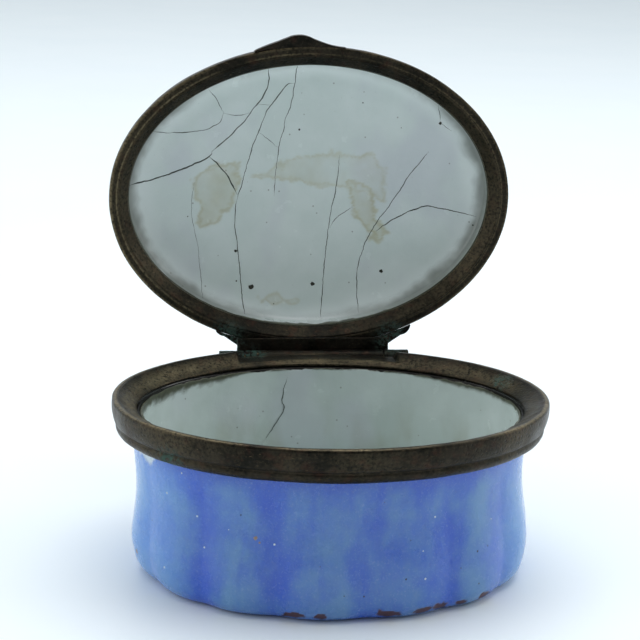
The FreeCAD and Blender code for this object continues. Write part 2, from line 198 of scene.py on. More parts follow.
def trace(section, step, closed=True):
    """Sample an outline of lines and arcs about every step, in order."""
    points = [section[0]]
    ends = list(section[1:]) + ([section[0]] if closed else [])
    for item in ends:
        if isinstance(item[0], tuple):
            points += arc_points(points[-1], item[0], item[1], step)
            continue
        (ax, ay), (bx, by) = points[-1], item
        count = max(1, round(math.hypot(bx - ax, by - ay) / step))
        for index in range(1, count + 1):
            points.append((ax + (bx - ax) * index / count, ay + (by - ay) * index / count))
    if closed:
        points.pop()
    return np.array(points)


class Oval:
    """Points spread evenly round an ellipse, with outward normals."""

    def __init__(self, half_width, half_depth, count):
        fine = np.linspace(0, math.tau, 20001)
        run = np.hypot(-half_width * np.sin(fine), half_depth * np.cos(fine))
        length = np.concatenate(([0], np.cumsum((run[1:] + run[:-1]) / 2)))
        self.share = np.arange(count) / count
        angle = np.interp(self.share * length[-1], length, fine)
        self.x = half_width * np.cos(angle)
        self.y = half_depth * np.sin(angle)
        size = np.hypot(half_depth * np.cos(angle), half_width * np.sin(angle))
        self.nx = half_depth * np.cos(angle) / size
        self.ny = half_width * np.sin(angle) / size

    def sweep(self, inward, height):
        """Give the grid of points for rows at (inward, height) round the oval."""
        x = self.x[None, :] - inward[:, None] * self.nx[None, :]
        y = self.y[None, :] - inward[:, None] * self.ny[None, :]
        z = np.broadcast_to(height[:, None], x.shape)
        return np.stack([x, y, z], axis=-1)


# ---------------------------------------------------------------- meshes


def new_piece(name, points, faces, body, slot, replaced=()):
    """Make a smooth-shaded piece from points in millimetres and let it ride on a body."""
    mesh = bpy.data.meshes.new(name)
    mesh.from_pydata((np.asarray(points) * MM).tolist(), [], faces)
    mesh.validate()
    mesh.update()
    mesh.shade_smooth()
    piece = bpy.data.objects.new(name, mesh)
    bpy.context.scene.collection.objects.link(piece)
    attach(piece, body)
    if replaced:
        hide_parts(*replaced)
    return piece


def grid_faces(rows, columns, wrap_rows):
    """Give the quads of a grid whose columns go all the way round."""
    faces = []
    last = rows if wrap_rows else rows - 1
    for row in range(last):
        here, there = row * columns, (row + 1) % rows * columns
        for column in range(columns):
            beside = (column + 1) % columns
            faces.append((here + column, here + beside, there + beside, there + column))
    return faces


def capped_faces(rows, columns):
    """Give the faces of a grid whose first and last rows close on a middle point each."""
    faces = grid_faces(rows, columns, False)
    first, last = rows * columns, rows * columns + 1
    end = (rows - 1) * columns
    for column in range(columns):
        beside = (column + 1) % columns
        faces.append((first, beside, column))
        faces.append((last, end + column, end + beside))
    return faces


def outward(piece):
    """Turn every face of a closed piece outward."""
    shape = bmesh.new()
    shape.from_mesh(piece.data)
    bmesh.ops.recalc_face_normals(shape, faces=shape.faces)
    shape.to_mesh(piece.data)
    shape.free()


def points_of(piece):
    """Read a piece's points, in millimetres."""
    points = np.empty(len(piece.data.vertices) * 3)
    piece.data.vertices.foreach_get("co", points)
    return points.reshape(-1, 3) / MM


def push(piece, amounts):
    """Move a piece's points along their normals by amounts in millimetres."""
    normals = np.empty(len(piece.data.vertices) * 3)
    piece.data.vertices.foreach_get("normal", normals)
    moved = points_of(piece) + normals.reshape(-1, 3) * amounts[:, None]
    piece.data.vertices.foreach_set("co", (moved * MM).ravel())
    piece.data.update()


def paint(piece, name, values):
    """Store a number for each point, for the material to read."""
    layer = piece.data.attributes.new(name, "FLOAT", "POINT")
    layer.data.foreach_set("value", np.clip(values, 0, 1).astype(np.float32).ravel())


def opened(points):
    """Take points of the shut lid, about its own middle and crest, to the open lid."""
    x, y, z = points[..., 0], points[..., 1], points[..., 2]
    return np.stack([x, LID_FRONT + z, LID_MIDDLE - y], axis=-1)


def dress(piece, material):
    """Give a piece one material."""
    piece.data.materials.clear()
    piece.data.materials.append(material)


# ---------------------------------------------------------------- the four rings of the mounts


def ring(section, oval, crest, away, wear_and_sheen, seed):
    """Sweep a mount's section round its oval, dented and uneven as old metal is.

    away is the way from the crest into the ring, 1 or -1: nothing rises past the crest, so the
    lid still shuts on the tub.
    """
    line = trace(section, 0.14)
    points = oval.sweep(line[:, 0], line[:, 1] + crest)
    rows, columns = points.shape[:2]
    flat = points.reshape(-1, 3)
    dent = 0.045 * rough_noise(flat, 4.5, seed) + 0.012 * rough_noise(flat, 0.7, seed + 7)
    bend = 0.06 + 0.06 * lattice_noise(flat * (1, 1, 0), 9.0, seed + 3)
    inward = np.tile(np.stack([oval.nx, oval.ny, 0 * oval.nx], axis=-1), (rows, 1))
    flat = flat + inward * (dent * 0.6)[:, None]
    flat[:, 2] = crest + away * np.maximum((flat[:, 2] - crest) * away + bend + dent * 0.4, 0)
    return flat, rows, columns, wear_and_sheen_of(line, wear_and_sheen, flat, columns, seed)


def wear_and_sheen_of(line, spots, flat, columns, seed):
    """Give how worn and lit each point is: high near the section's proud places, partly real wear and partly
    painted highlight, and higher towards the oval's ends, a painted reflection.
    """
    rubbed_and_lit = np.full(len(line), 0.15)
    for inward, height, reach in spots:
        away = np.hypot(line[:, 0] - inward, line[:, 1] - height)
        rubbed_and_lit = np.maximum(rubbed_and_lit, 1 - smooth_step(0, reach, away))
    patchy = 0.35 + 0.6 * rough_noise(flat, 2.6, seed + 11)
    # Brighter towards both ends of the oval: painted reflection.
    patchy += 1.1 * smooth_step(9, 19, np.abs(flat[:, 0]))
    return np.repeat(rubbed_and_lit, columns) * np.clip(patchy, 0.05, 1.6)


# The notch in the tub's crest for the lid's leaf, and the channel round the lid's knuckle.
NOTCH_HALF = 8.6
NOTCH_RAMP = 0.35
NOTCH_DEPTH = 0.8
CHANNEL_HALF = 10.85
CHANNEL_RADIUS = 1.0


def notched(points):
    """Lower the tub's crest behind, where the lid's leaf passes, with ramps at the ends."""
    x, y, z = points.T
    drop = z - RIM_HEIGHT
    floor = -NOTCH_DEPTH + 0.06 * np.minimum(drop, 0)
    past = np.abs(x - HINGE_X) - NOTCH_HALF
    within = (1 - smooth_step(0, NOTCH_RAMP, past)) * (y > 0)
    lowered = np.minimum(drop, floor)
    return np.stack([x, y, RIM_HEIGHT + drop + (lowered - drop) * within], axis=-1)


def channelled(points):
    """Push the tub's band clear of the lid's knuckle."""
    x, y, z = points.T
    across, up = y - HINGE_BACK, z - HINGE_HEIGHT
    away = np.hypot(across, up)
    near = (np.abs(x - HINGE_X) < CHANNEL_HALF) & (away < CHANNEL_RADIUS)
    stretch = np.where(near, CHANNEL_RADIUS / np.maximum(away, 0.01), 1.0)
    return np.stack([x, HINGE_BACK + across * stretch, HINGE_HEIGHT + up * stretch], axis=-1)


def finish_ring(name, body, replaced, flat, rows, columns, rubbed_and_lit):
    """Close a ring's faces and keep its wear and painted highlight for the material."""
    piece = new_piece(name, flat, grid_faces(rows, columns, True), body, "gilt_metal", (replaced,))
    outward(piece)
    paint(piece, "wear_and_sheen", rubbed_and_lit)
    return piece


def build_mounts(metal):
    """Build the tub's band and bezel and the lid's band and bezel."""
    tub_oval = Oval(RIM_HALF_WIDTH, RIM_HALF_DEPTH, 840)
    lid_oval = Oval(LID_HALF_WIDTH, LID_HALF_DEPTH, 840)
    # Spots where the metal shows brassy, as (inward, height, reach): partly real wear, partly painted
    # highlight on the crest and edges.
    band_bright_spots = ((0.30, 0.0, 0.35),)
    bezel_bright_spots = ((1.7, -0.8, 1.5),)
    flat, rows, columns, rubbed_and_lit = ring(TUB_BAND, tub_oval, RIM_HEIGHT, -1, band_bright_spots, 11)
    band = finish_ring("tub_band", "box", "body_mount", channelled(notched(flat)), rows, columns, rubbed_and_lit)
    flat, rows, columns, rubbed_and_lit = ring(TUB_BEZEL, tub_oval, RIM_HEIGHT, -1, bezel_bright_spots, 11)
    # The bezel's brassy sheen fades towards the right.
    rubbed_and_lit *= 0.75 - 0.5 * smooth_step(4, 13, flat[:, 0])
    bezel = finish_ring("tub_bezel", "box", "body_bezel", notched(flat), rows, columns, rubbed_and_lit)
    lid_bright_spots = ((0.12, 0.05, 0.30), (0.80, 0.0, 0.16), (0.34, 2.48, 0.2))
    flat, rows, columns, rubbed_and_lit = ring(LID_BAND, lid_oval, 0, 1, lid_bright_spots, 23)
    # The lid band's brassy sheen fades towards the right.
    rubbed_and_lit *= 0.8 - 0.5 * smooth_step(0, 15, flat[:, 0])
    lid_band = finish_ring("lid_band", "lid", "lid_mount", opened(flat), rows, columns, rubbed_and_lit)
    lip_bright_spots = ((2.10, 1.1, 0.15),)
    flat, rows, columns, rubbed_and_lit = ring(LID_BEZEL, lid_oval, 0, 1, lip_bright_spots, 23)
    lid_bezel = finish_ring("lid_lip", "lid", "lid_bezel", opened(flat), rows, columns, rubbed_and_lit)
    for piece in (band, bezel, lid_band, lid_bezel):
        dress(piece, metal)


# ---------------------------------------------------------------- the tub's glaze and enamel

# Middles of the lobes, as shares of the way round from the right-hand end.
LOBES = (0.012, 0.08, 0.15, 0.22, 0.29, 0.36, 0.435, 0.51, 0.583, 0.646, 0.719, 0.805, 0.873, 0.94)

# How far the tub's foot stands to the right of its mouth.
LEAN = 0.42
# How far the foot is drawn in at its two ends.
END_TUCK = 0.7

# The chips along the foot: the height of their middles, then X, half length, half height and
# side (-1 front, 1 back) of each.
CHIP_MIDDLE = 0.8
CHIPS = (
    (-5.3, 1.3, 0.45, -1),
    (-2.9, 0.8, 0.42, -1),
    (4.0, 1.3, 0.55, -1),
    (7.5, 0.9, 0.45, -1),
    (9.4, 0.9, 0.50, -1),
    (11.6, 0.6, 0.40, -1),
    (14.4, 0.9, 0.55, -1),
    (-9.0, 0.9, 0.40, 1),
    (3.5, 0.7, 0.36, 1),
    (12.5, 0.8, 0.42, 1),
)


def lobe_shape(share):
    """Give the lobes' rise round the tub, 1 on a crest and near 0 in a valley."""
    spots = np.array((LOBES[-1] - 1,) + LOBES + (LOBES[0] + 1,))
    phase = np.interp(share, spots, np.arange(len(spots))) * math.pi
    return np.sqrt(np.cos(phase) ** 2 * 0.97 + 0.03)


def chip_mask(flat):
    """Give 1 where the glaze has flaked off the foot."""
    x, y, z = flat.T
    ragged = 0.45 * rough_noise(flat, 0.55, 51)
    mask = np.zeros(len(flat))
    for middle, half_length, height, side in CHIPS:
        away = np.hypot((x - middle) / half_length, (z - CHIP_MIDDLE) / height) + ragged
        mask = np.maximum(mask, (1 - smooth_step(0.8, 1.0, away)) * (y * side > 4))
    return mask


def bare_mask(flat):
    """Give 1 where the glaze is thin and pale: under the mount at the left."""
    x, y, z = flat.T
    ragged = 0.5 * rough_noise(flat, 1.1, 61)
    away = np.hypot((z - 15.0) / 1.6, (y + 4.0) / 2.6) + ragged
    patch = (1 - smooth_step(0.7, 1.15, away)) * (x < -17)
    rim = (1 - smooth_step(0.0, 0.5, np.abs(z - 14.95) + 0.3 * ragged)) * (x < -12) * (y < 0)
    return np.maximum(patch, 0.8 * rim)


def floor_rows(grid, shares, height):
    """Shrink a row of points towards the middle, for the tub's flat floor."""
    rows = []
    for share in shares:
        row = grid * (share, share, 0)
        row[:, 2] = height
        rows.append(row)
    return rows


def leaning(points):
    """Lean the tub a little to the right low down, as the real one stands under its mount."""
    leant = np.array(points, float)
    x, z = leant[..., 0].copy(), leant[..., 2]
    tuck = END_TUCK * smooth_step(12.0, 21.0, np.abs(x)) * (1 - smooth_step(0.0, 4.5, z))
    leant[..., 0] += LEAN * (1 - smooth_step(5.0, 14.0, z)) - np.sign(x) * tuck
    return leant


def tub_wall():
    """Sample the tub's outer wall, its belly eased into its waist."""
    wall = trace(TUB_WALL, 0.17, closed=False)
    eased = wall[1:-1, 1] > FOOT_ROUND + 0.4
    for _ in range(160):
        between = (wall[:-2, 0] + 2 * wall[1:-1, 0] + wall[2:, 0]) / 4
        wall[1:-1, 0] = np.where(eased, between, wall[1:-1, 0])
    return wall


def tub_layer(names, parts, middles):
    """Close four sets of rows, out from the middle and back to it, into a layer of the tub."""
    name, slot, node = names
    grid = np.concatenate([np.array(part) for part in parts])
    ends = [(0, 0, height) for height in middles]
    flat = leaning(np.concatenate([grid.reshape(-1, 3), ends]))
    piece = new_piece(name, flat, capped_faces(*grid.shape[:2]), "box", slot, (node,))
    outward(piece)
    return piece, flat


def build_glaze(material):
    """Build the blue glaze, lobed like a melon and chipped along the foot."""
    oval = Oval(TUB_HALF_WIDTH, TUB_HALF_DEPTH, 720)
    wall = tub_wall()
    outer = oval.sweep(wall[:, 0], wall[:, 1])
    lobes = lobe_shape(oval.share)
    heights = wall[:, 1]
    fade = 1 - smooth_step(10.5, 16.2, heights)
    height_of_lobes = fade * (0.50 - 0.24 * smooth_step(4.5, 9.5, heights))
    rise = (lobes[None, :] - 0.62) * height_of_lobes[:, None]
    outer[..., 0] += rise * oval.nx
    outer[..., 1] += rise * oval.ny
    inner_line = wall[::-4].copy()
    inner_line[:, 0] += GLAZE_DEPTH
    inner_line[:, 1] = np.maximum(inner_line[:, 1], GLAZE_DEPTH)
    inner = oval.sweep(inner_line[:, 0], inner_line[:, 1])
    under = floor_rows(outer[0], (0.15, 0.3, 0.45, 0.6, 0.75, 0.88, 0.95), 0.0)
    over = floor_rows(inner[-1], (0.9, 0.6, 0.3), GLAZE_DEPTH)
    names = ("blue_glaze", "blue_enamel", "body_outer_enamel")
    piece, flat = tub_layer(names, (under, outer, inner, over), (0, GLAZE_DEPTH))
    columns = len(oval.x)
    first, last = len(under) + 1, len(under) + len(outer) - 1
    on_wall = np.zeros(len(flat))
    on_wall[first * columns:last * columns] = 1
    chips = chip_mask(flat) * on_wall
    bare = bare_mask(flat) * on_wall
    uneven = 0.035 * rough_noise(flat, 5.0, 31, 2) + 0.008 * rough_noise(flat, 0.8, 37)
    push(piece, (uneven - 0.08 * chips - 0.05 * bare) * on_wall)
    # The lobes' crests, where the glaze material paints its pale highlight.
    crest = np.zeros(len(flat))
    start = len(under) * columns
    crest[start:start + len(outer) * columns] = (lobes[None, :] * fade[:, None]).ravel()
    paint(piece, "crest", crest)
    paint(piece, "chip", chips)
    paint(piece, "bare", bare)
    dress(piece, material)
    return piece


def build_copper(material):
    """Build the tub's copper between its two enamels."""
    oval = Oval(TUB_HALF_WIDTH, TUB_HALF_DEPTH, 480)
    outer_line = tub_wall()[::2] + (GLAZE_DEPTH + 0.04, 0)
    inner_line = tub_wall()[::-2] + (COPPER_DEPTH - 0.02, 0)
    outer_line[:, 1] = np.maximum(outer_line[:, 1], GLAZE_DEPTH + 0.02)
    inner_line[:, 1] = np.maximum(inner_line[:, 1], COPPER_DEPTH - 0.02)
    outer = oval.sweep(outer_line[:, 0], outer_line[:, 1])
    inner = oval.sweep(inner_line[:, 0], inner_line[:, 1])
    under = floor_rows(outer[0], (0.3, 0.6, 0.9), outer_line[0, 1])
    over = floor_rows(inner[-1], (0.9, 0.6, 0.3), inner_line[-1, 1])
    names = ("tub_copper", "copper_core", "body_copper")
    middles = (outer_line[0, 1], inner_line[-1, 1])
    piece, _ = tub_layer(names, (under, outer, inner, over), middles)
    dress(piece, material)


def tub_inside(height):
    """Give how far in from the tub's oval the white enamel's face is at heights."""
    line = tub_wall()
    line = line[line[:, 1] >= FOOT_ROUND]
    return np.interp(height, line[:, 1], line[:, 0]) + ENAMEL_DEPTH


def build_white_enamel(material):
    """Build the white enamel inside the tub, its top edge ragged under the bezel."""
    oval = Oval(TUB_HALF_WIDTH, TUB_HALF_DEPTH, 600)
    top = WALL_TOP - 0.02
    heights = np.concatenate([np.linspace(top, 15.0, 18), np.linspace(14.8, FOOT_ROUND, 60)])
    bend = np.linspace(0.1, math.pi / 2, 9)
    radius = FOOT_ROUND - ENAMEL_DEPTH
    side = np.stack([tub_inside(heights), heights], axis=-1)
    turned = np.stack([radius * (1 - np.cos(bend)), radius * (1 - np.sin(bend))], axis=-1)
    line = np.concatenate([side, turned + ENAMEL_DEPTH])
    inner = oval.sweep(line[:, 0], line[:, 1])
    lobes = lobe_shape(oval.share)
    fade = 1 - smooth_step(12.0, 16.0, line[:, 1])
    rise = (lobes[None, :] - 0.66) * 0.22 * fade[:, None]
    inner[..., 0] += rise * oval.nx
    inner[..., 1] += rise * oval.ny
    thickness = ENAMEL_DEPTH - COPPER_DEPTH
    back_line = line[::-6] + (-thickness, 0)
    back_line[:, 1] = np.maximum(back_line[:, 1] - thickness * (back_line[:, 1] < 3), COPPER_DEPTH)
    back = oval.sweep(back_line[:, 0], back_line[:, 1])
    for part in (back, inner):
        flat = part.reshape(-1, 3)
        ragged = np.clip(0.06 + 0.13 * rough_noise(flat, 0.6, 71), 0, 0.25)
        flat[:, 2] -= ragged * smooth_step(top - 0.6, top, flat[:, 2])
    over = floor_rows(inner[-1], (0.9, 0.75, 0.6, 0.45, 0.3, 0.15), ENAMEL_DEPTH)
    under = floor_rows(back[0], (0.3, 0.6, 0.9), COPPER_DEPTH)
    names = ("tub_white_enamel", "white_enamel", "body_inner_enamel")
    piece, flat = tub_layer(names, (under, back, inner, over), (COPPER_DEPTH, ENAMEL_DEPTH))
    x, _, z = flat.T
    inside = np.zeros(len(flat))
    inside[(len(under) + len(back)) * len(oval.x):] = 1
    push(piece, 0.035 * rough_noise(flat, 3.5, 73) * inside)
    rough = 0.5 * rough_noise(flat, 0.6, 77) + 0.4 * rough_noise(flat, 3.0, 79)
    reach = 0.22 + 1.1 * smooth_step(6, 14, -x) + 0.5 * smooth_step(9, 16, x)
    reach *= np.clip(1 + 0.6 * rough, 0.2, 2)
    paint(piece, "edge", (1 - smooth_step(0.35, 1.0, (top - z) / reach)) * (z > 14))
    dress(piece, material)


# ---------------------------------------------------------------- the lid's enamels


def dish(x, y, depth):
    """Give the height of the dome's surface at a depth below its outside, with slow waves."""
    across = x / (DOME_HALF_WIDTH - depth)
    along = y / (DOME_HALF_DEPTH - depth)
    round_part = np.sqrt(np.clip(1 - across**2 - along**2, 0, 1))
    flat = np.stack([x, y, 0 * x], axis=-1).reshape(-1, 3)
    waves = 0.035 * rough_noise(flat, 5.0, 91, 2).reshape(np.shape(x))
    return DOME_SPRING + (DOME_RISE - depth) * round_part + waves * np.minimum(round_part * 3, 1)


def dome_rows(depth, turns, columns):
    """Give rows from the dome's middle out to its spring, at a depth."""
    angle = np.arange(columns) / columns * math.tau
    x = (DOME_HALF_WIDTH - depth) * np.sin(turns)[:, None] * np.cos(angle)[None, :]
    y = (DOME_HALF_DEPTH - depth) * np.sin(turns)[:, None] * np.sin(angle)[None, :]
    return np.stack([x, y, dish(x, y, depth)], axis=-1)


def skirt_rows(depth, heights, columns):
    """Give upright rows below the dome's spring."""
    angle = np.arange(columns) / columns * math.tau
    x = (DOME_HALF_WIDTH - depth) * np.cos(angle)
    y = (DOME_HALF_DEPTH - depth) * np.sin(angle)
    return np.array([np.stack([x, y, 0 * x + height], axis=-1) for height in heights])


def lid_layer(name, node, slot, outside, inside, columns, fine_outside):
    """Build one enamel of the lid between two depths, with its fine face outside or inside."""
    fine = np.linspace(0.02, math.pi / 2, 105)
    plain = np.linspace(0.05, math.pi / 2, 24)
    steps = np.linspace(DOME_SPRING - 0.15, DOME_FOOT, 8)
    outer = dome_rows(outside, fine if fine_outside else plain, columns)
    inner = dome_rows(inside, plain if fine_outside else fine, columns)
    grid = np.concatenate([
        outer,
        skirt_rows(outside, steps, columns),
        skirt_rows(inside, steps[::-1], columns),
        inner[::-1],
    ])
    rows = len(grid)
    middle = np.zeros(2)
    tops = [(0, 0, dish(middle, middle, depth)[0]) for depth in (outside, inside)]
    flat = np.concatenate([grid.reshape(-1, 3), tops])
    piece = new_piece(name, opened(flat), capped_faces(rows, columns), "lid", slot, (node,))
    outward(piece)
    return piece, flat


# Glue stains left by a lost mirror, in the lid's plane: outlines of (X, up) from its middle.
STAIN_BLOB = (
    (-12.8, 1.2), (-10.5, 3.2), (-7.6, 3.3), (-7.4, 1.0),
    (-8.3, -1.2), (-10.2, -3.6), (-12.3, -4.6), (-12.2, -2.0),
)
STAIN_BAND = (
    (-6.5, 1.4), (-4.6, 2.2), (-1.5, 3.8), (3.0, 4.3), (7.6, 4.2),
    (9.0, 2.8), (8.9, -1.1), (7.2, -0.2), (2.5, 0.6), (-2.5, 1.0),
)
STAIN_LOW = (
    (4.8, 1.0), (7.5, 0.4), (8.2, -2.5), (9.9, -4.8), (8.6, -6.2), (6.6, -3.9), (5.4, -2.2),
)
STAIN_SMEAR = (
    (-5.2, -12.0), (-3.0, -11.9), (-0.8, -12.4), (-1.2, -13.0), (-3.4, -12.9), (-5.0, -12.8),
)


def outline_distance(x, z, outline):
    """Give the distance from points to a closed outline, negative inside."""
    best = np.full(x.shape, 1e9)
    inside = np.zeros(x.shape, bool)
    for (ax, az), (bx, bz) in zip(outline, outline[1:] + outline[:1]):
        run = (bx - ax) ** 2 + (bz - az) ** 2
        share = np.clip(((x - ax) * (bx - ax) + (z - az) * (bz - az)) / run, 0, 1)
        best = np.minimum(best, np.hypot(x - ax - share * (bx - ax), z - az - share * (bz - az)))
        crosses = (az > z) != (bz > z)
        with_slope = ax + (z - az) * (bx - ax) / np.where(bz == az, 1e-9, bz - az)
        inside ^= crosses & (x < with_slope)
    return np.where(inside, -best, best)


def stain_mask(x, z):
    """Give how stained the lid's enamel is: pale inside each stain and darker at its edge."""
    flat = np.stack([x, 0 * x, z], axis=-1)
    ragged = 0.55 * rough_noise(flat, 1.3, 101) + 0.25 * rough_noise(flat, 0.5, 103)
    mask = np.zeros(x.shape)
    strengths = ((STAIN_BLOB, 0.60), (STAIN_BAND, 0.42), (STAIN_LOW, 0.62), (STAIN_SMEAR, 0.38))
    for outline, strength in strengths:
        away = outline_distance(x, z, outline) + ragged
        body = 1 - smooth_step(-0.35, 0.15, away)
        rim = np.exp(-((away + 0.15) / 0.22) ** 2)
        patchy = 0.7 + 0.5 * rough_noise(flat, 1.8, 107)
        mask = np.maximum(mask, strength * np.clip(body * patchy * 0.7 + rim * 0.7, 0, 1.3))
    return mask


def build_lid_enamels(white, outside_paint):
    """Build the lid's white inside, stained and grimy at its edge with painted shade there, a painted
    highlight inside its rim, and its painted outside.
    """
    inner, flat = lid_layer(
        "lid_white_enamel", "lid_inner_enamel", "white_enamel", COPPER_DEPTH, ENAMEL_DEPTH, 640, False
    )
    x, z = flat[:, 0], -flat[:, 1]
    # Dark band just above the lip, wider at the lower left: partly real grime and partly painted shadow of
    # the lip.
    rough = 0.22 * rough_noise(flat, 0.8, 111) + 0.10 * rough_noise(flat, 0.3, 115)
    lower_left = smooth_step(2, 14, -x * 0.6 - z * 0.9)
    reach = 0.25 + 0.75 * lower_left * np.clip(0.5 + rough_noise(flat, 1.6, 113), 0, 1.5)
    above_lip = flat[:, 2] - LID_LIP_TOP
    grime_and_lip_shadow = 1 - smooth_step(reach * 0.6, reach * 1.4, above_lip + rough * reach)
    # A soft dark ring at the dish's outer edge, stronger at its ends: painted shade.
    out = np.hypot(x / (DOME_HALF_WIDTH - ENAMEL_DEPTH), z / (DOME_HALF_DEPTH - ENAMEL_DEPTH))
    at_ends = smooth_step(6, 15, np.abs(x) - 0.3 * z)
    rim_shade = smooth_step(0.93, 1.0, out + 0.02 * rough_noise(flat, 2.0, 123)) * (0.15 + 0.55 * at_ends)
    paint(inner, "edge", np.maximum(grime_and_lip_shadow, rim_shade))
    paint(inner, "stain", stain_mask(x, z))
    # A whiter band just inside the lid's rim, where the dish's curved edge catches light: painted highlight.
    reach = np.hypot(x / DOME_HALF_WIDTH, z / DOME_HALF_DEPTH)
    wander = 0.03 * rough_noise(flat, 5.0, 121)
    paint(inner, "rim_highlight", smooth_step(0.80, 0.92, reach + wander))
    dress(inner, white)
    outer, flat = lid_layer(
        "lid_painted_enamel", "lid_outer_enamel", "lid_enamel", 0.0, GLAZE_DEPTH, 560, True
    )
    reach = np.hypot(flat[:, 0] / DOME_HALF_WIDTH, flat[:, 1] / DOME_HALF_DEPTH)
    wander = 0.012 * rough_noise(flat, 4.0, 117) + 0.004 * rough_noise(flat, 0.6, 119)
    paint(outer, "border", smooth_step(0.835, 0.865, reach + wander))
    paint(outer, "line", 1 - smooth_step(0.0, 0.007, np.abs(reach + wander * 0.5 - 0.80)))
    dress(outer, outside_paint)


# ---------------------------------------------------------------- cracks, pits and specks

# Cracks of the lid's enamel in its own plane, as (X, up) from its middle, with their widths.
LID_CRACKS = (
    (0.10, ((-20.0, 0.9), (-17.1, 1.5), (-14.0, 2.5), (-11.2, 3.9), (-10.8, 4.5))),
    (0.07, ((-10.8, 4.5), (-8.5, 6.5), (-6.4, 9.1), (-4.9, 11.7), (-4.8, 14.3))),
    (0.05, ((-17.7, 7.0), (-15.7, 6.7), (-12.5, 6.8), (-10.4, 7.5), (-9.8, 8.1), (-9.6, 8.9))),
    (0.05, ((-9.6, 8.9), (-10.4, 10.4), (-11.4, 11.6))),
    (0.04, ((-9.6, 8.9), (-8.2, 8.6), (-6.7, 8.8))),
    (0.05, ((-1.7, 14.8), (-1.8, 12.3), (-2.0, 10.5), (-3.1, 5.9), (-3.6, 0.7), (-3.7, -0.6))),
    (0.06, ((-1.8, 12.3), (-2.7, 12.1), (-3.9, 10.4), (-5.1, 8.2), (-6.5, 3.9), (-7.8, -1.0))),
    (0.06, ((-7.8, -1.0), (-8.1, -3.2), (-7.8, -5.8), (-7.4, -9.0), (-6.9, -14.2))),
    (0.08, ((-11.2, 3.9), (-9.9, 2.8), (-8.6, 1.0), (-7.8, -0.5))),
    (0.05, ((3.7, 4.1), (3.5, 0.8), (2.8, -3.7), (2.3, -8.9), (1.9, -14.6))),
    (0.05, ((13.8, 4.8), (12.0, 2.2), (9.6, -1.7), (7.8, -4.3), (6.7, -6.9), (6.1, -9.5), (6.2, -13.8))),
    (0.07, ((8.2, -4.6), (10.0, -3.3), (13.4, -1.7), (15.9, -1.9), (19.4, -2.5))),
    (0.03, ((-12.7, 0.9), (-13.0, -2.6), (-12.2, -6.5), (-11.7, -12.3))),
    (0.04, ((14.3, 10.5), (14.8, 8.1))),
    (0.04, ((-5.9, 9.9), (-4.5, 9.7))),
    (0.03, ((-5.5, 6.6), (-3.4, 5.0))),
    (0.04, ((2.9, -4.3), (3.7, -3.0), (5.4, -1.9))),
    (0.05, ((14.8, 8.1), (16.1, 7.2))),
)
# How many times wider than those widths the cracks are laid.
CRACK_WIDENING = 1.6

# Pits in the lid's enamel: X, up and radius.
LID_PITS = (
    (-6.1, -11.0, 0.36),
    (1.0, -10.7, 0.28),
    (8.9, -9.2, 0.24),
    (-1.0, 7.0, 0.15),
    (-7.9, -6.9, 0.20),
    (-7.8, -10.3, 0.12),
    (-8.9, 13.2, 0.10),
    (14.8, 8.1, 0.22),
    (19.1, -3.5, 0.13),
    (6.0, 10.2, 0.10),
    (-13.4, -2.9, 0.09),
    (10.5, 7.4, 0.07),
    (-3.5, -12.9, 0.08),
)

# The crack in the white enamel at the back of the tub, as (X, height).
TUB_CRACK = ((-2.9, 16.2), (-3.4, 13.5), (-3.2, 12.5), (-4.3, 10.8), (-5.3, 9.3))


def wandering(points, step, seed):
    """Join points by a smooth line that wanders a little, as a crack does."""
    points = np.array(points, float)
    ends = np.concatenate([[2 * points[0] - points[1]], points, [2 * points[-1] - points[-2]]])
    line = []
    for before, here, there, after in zip(ends, ends[1:], ends[2:], ends[3:]):
        count = max(2, round(np.linalg.norm(there - here) / step))
        for share in np.arange(count) / count:
            line.append(0.5 * (
                2 * here
                + (there - before) * share
                + (2 * before - 5 * here + 4 * there - after) * share**2
                + (3 * here - before - 3 * there + after) * share**3
            ))
    line.append(points[-1])
    line = np.array(line)
    flat = np.stack([line[:, 0], line[:, 1], 0 * line[:, 0]], axis=-1)
    line[:, 0] += 0.10 * rough_noise(flat, 1.1, seed) + 0.03 * rough_noise(flat, 0.3, seed + 5)
    line[:, 1] += 0.10 * rough_noise(flat, 1.1, seed + 50) + 0.03 * rough_noise(flat, 0.3, seed + 55)
    return line


def ribbon(line, width, lift, seed):
    """Give the points and faces of a thin closed ribbon on a surface, tapering at its ends.

    lift gives the surface's points and outward normals for places along the line.
    """
    ahead = np.gradient(line, axis=0)
    ahead /= np.linalg.norm(ahead, axis=1)[:, None] + 1e-9
    side = np.stack([-ahead[:, 1], ahead[:, 0]], axis=-1)
    run = np.linspace(0, 1, len(line))
    taper = np.clip(np.minimum(run, 1 - run) * len(line) / 8, 0.25, 1)
    flat = np.stack([line[:, 0], line[:, 1], 0 * run], axis=-1)
    half = width / 2 * taper * (0.9 + 0.5 * rough_noise(flat, 0.8, seed))
    half = np.maximum(half, 0.008)[:, None]
    rails = []
    edge, crest, root = 0.003, 0.010, -0.05
    corners = ((line - side * half, edge), (line, crest), (line + side * half, edge), (line, root))
    for place, height in corners:
        base, normal = lift(place)
        rails.append(base + normal * height)
    points = np.stack(rails, axis=1).reshape(-1, 3)
    faces = []
    for index in range(len(line) - 1):
        here = index * 4
        for corner in range(4):
            beside = (corner + 1) % 4
            faces.append((here + corner, here + beside, here + 4 + beside, here + 4 + corner))
    end = (len(line) - 1) * 4
    faces += [(3, 2, 1, 0), (end, end + 1, end + 2, end + 3)]
    return points, faces


def join(parts):
    """Put several sets of points and faces into one."""
    points, faces, count = [], [], 0
    for part_points, part_faces in parts:
        points.append(part_points)
        faces += [tuple(index + count for index in face) for face in part_faces]
        count += len(part_points)
    return np.concatenate(points), faces


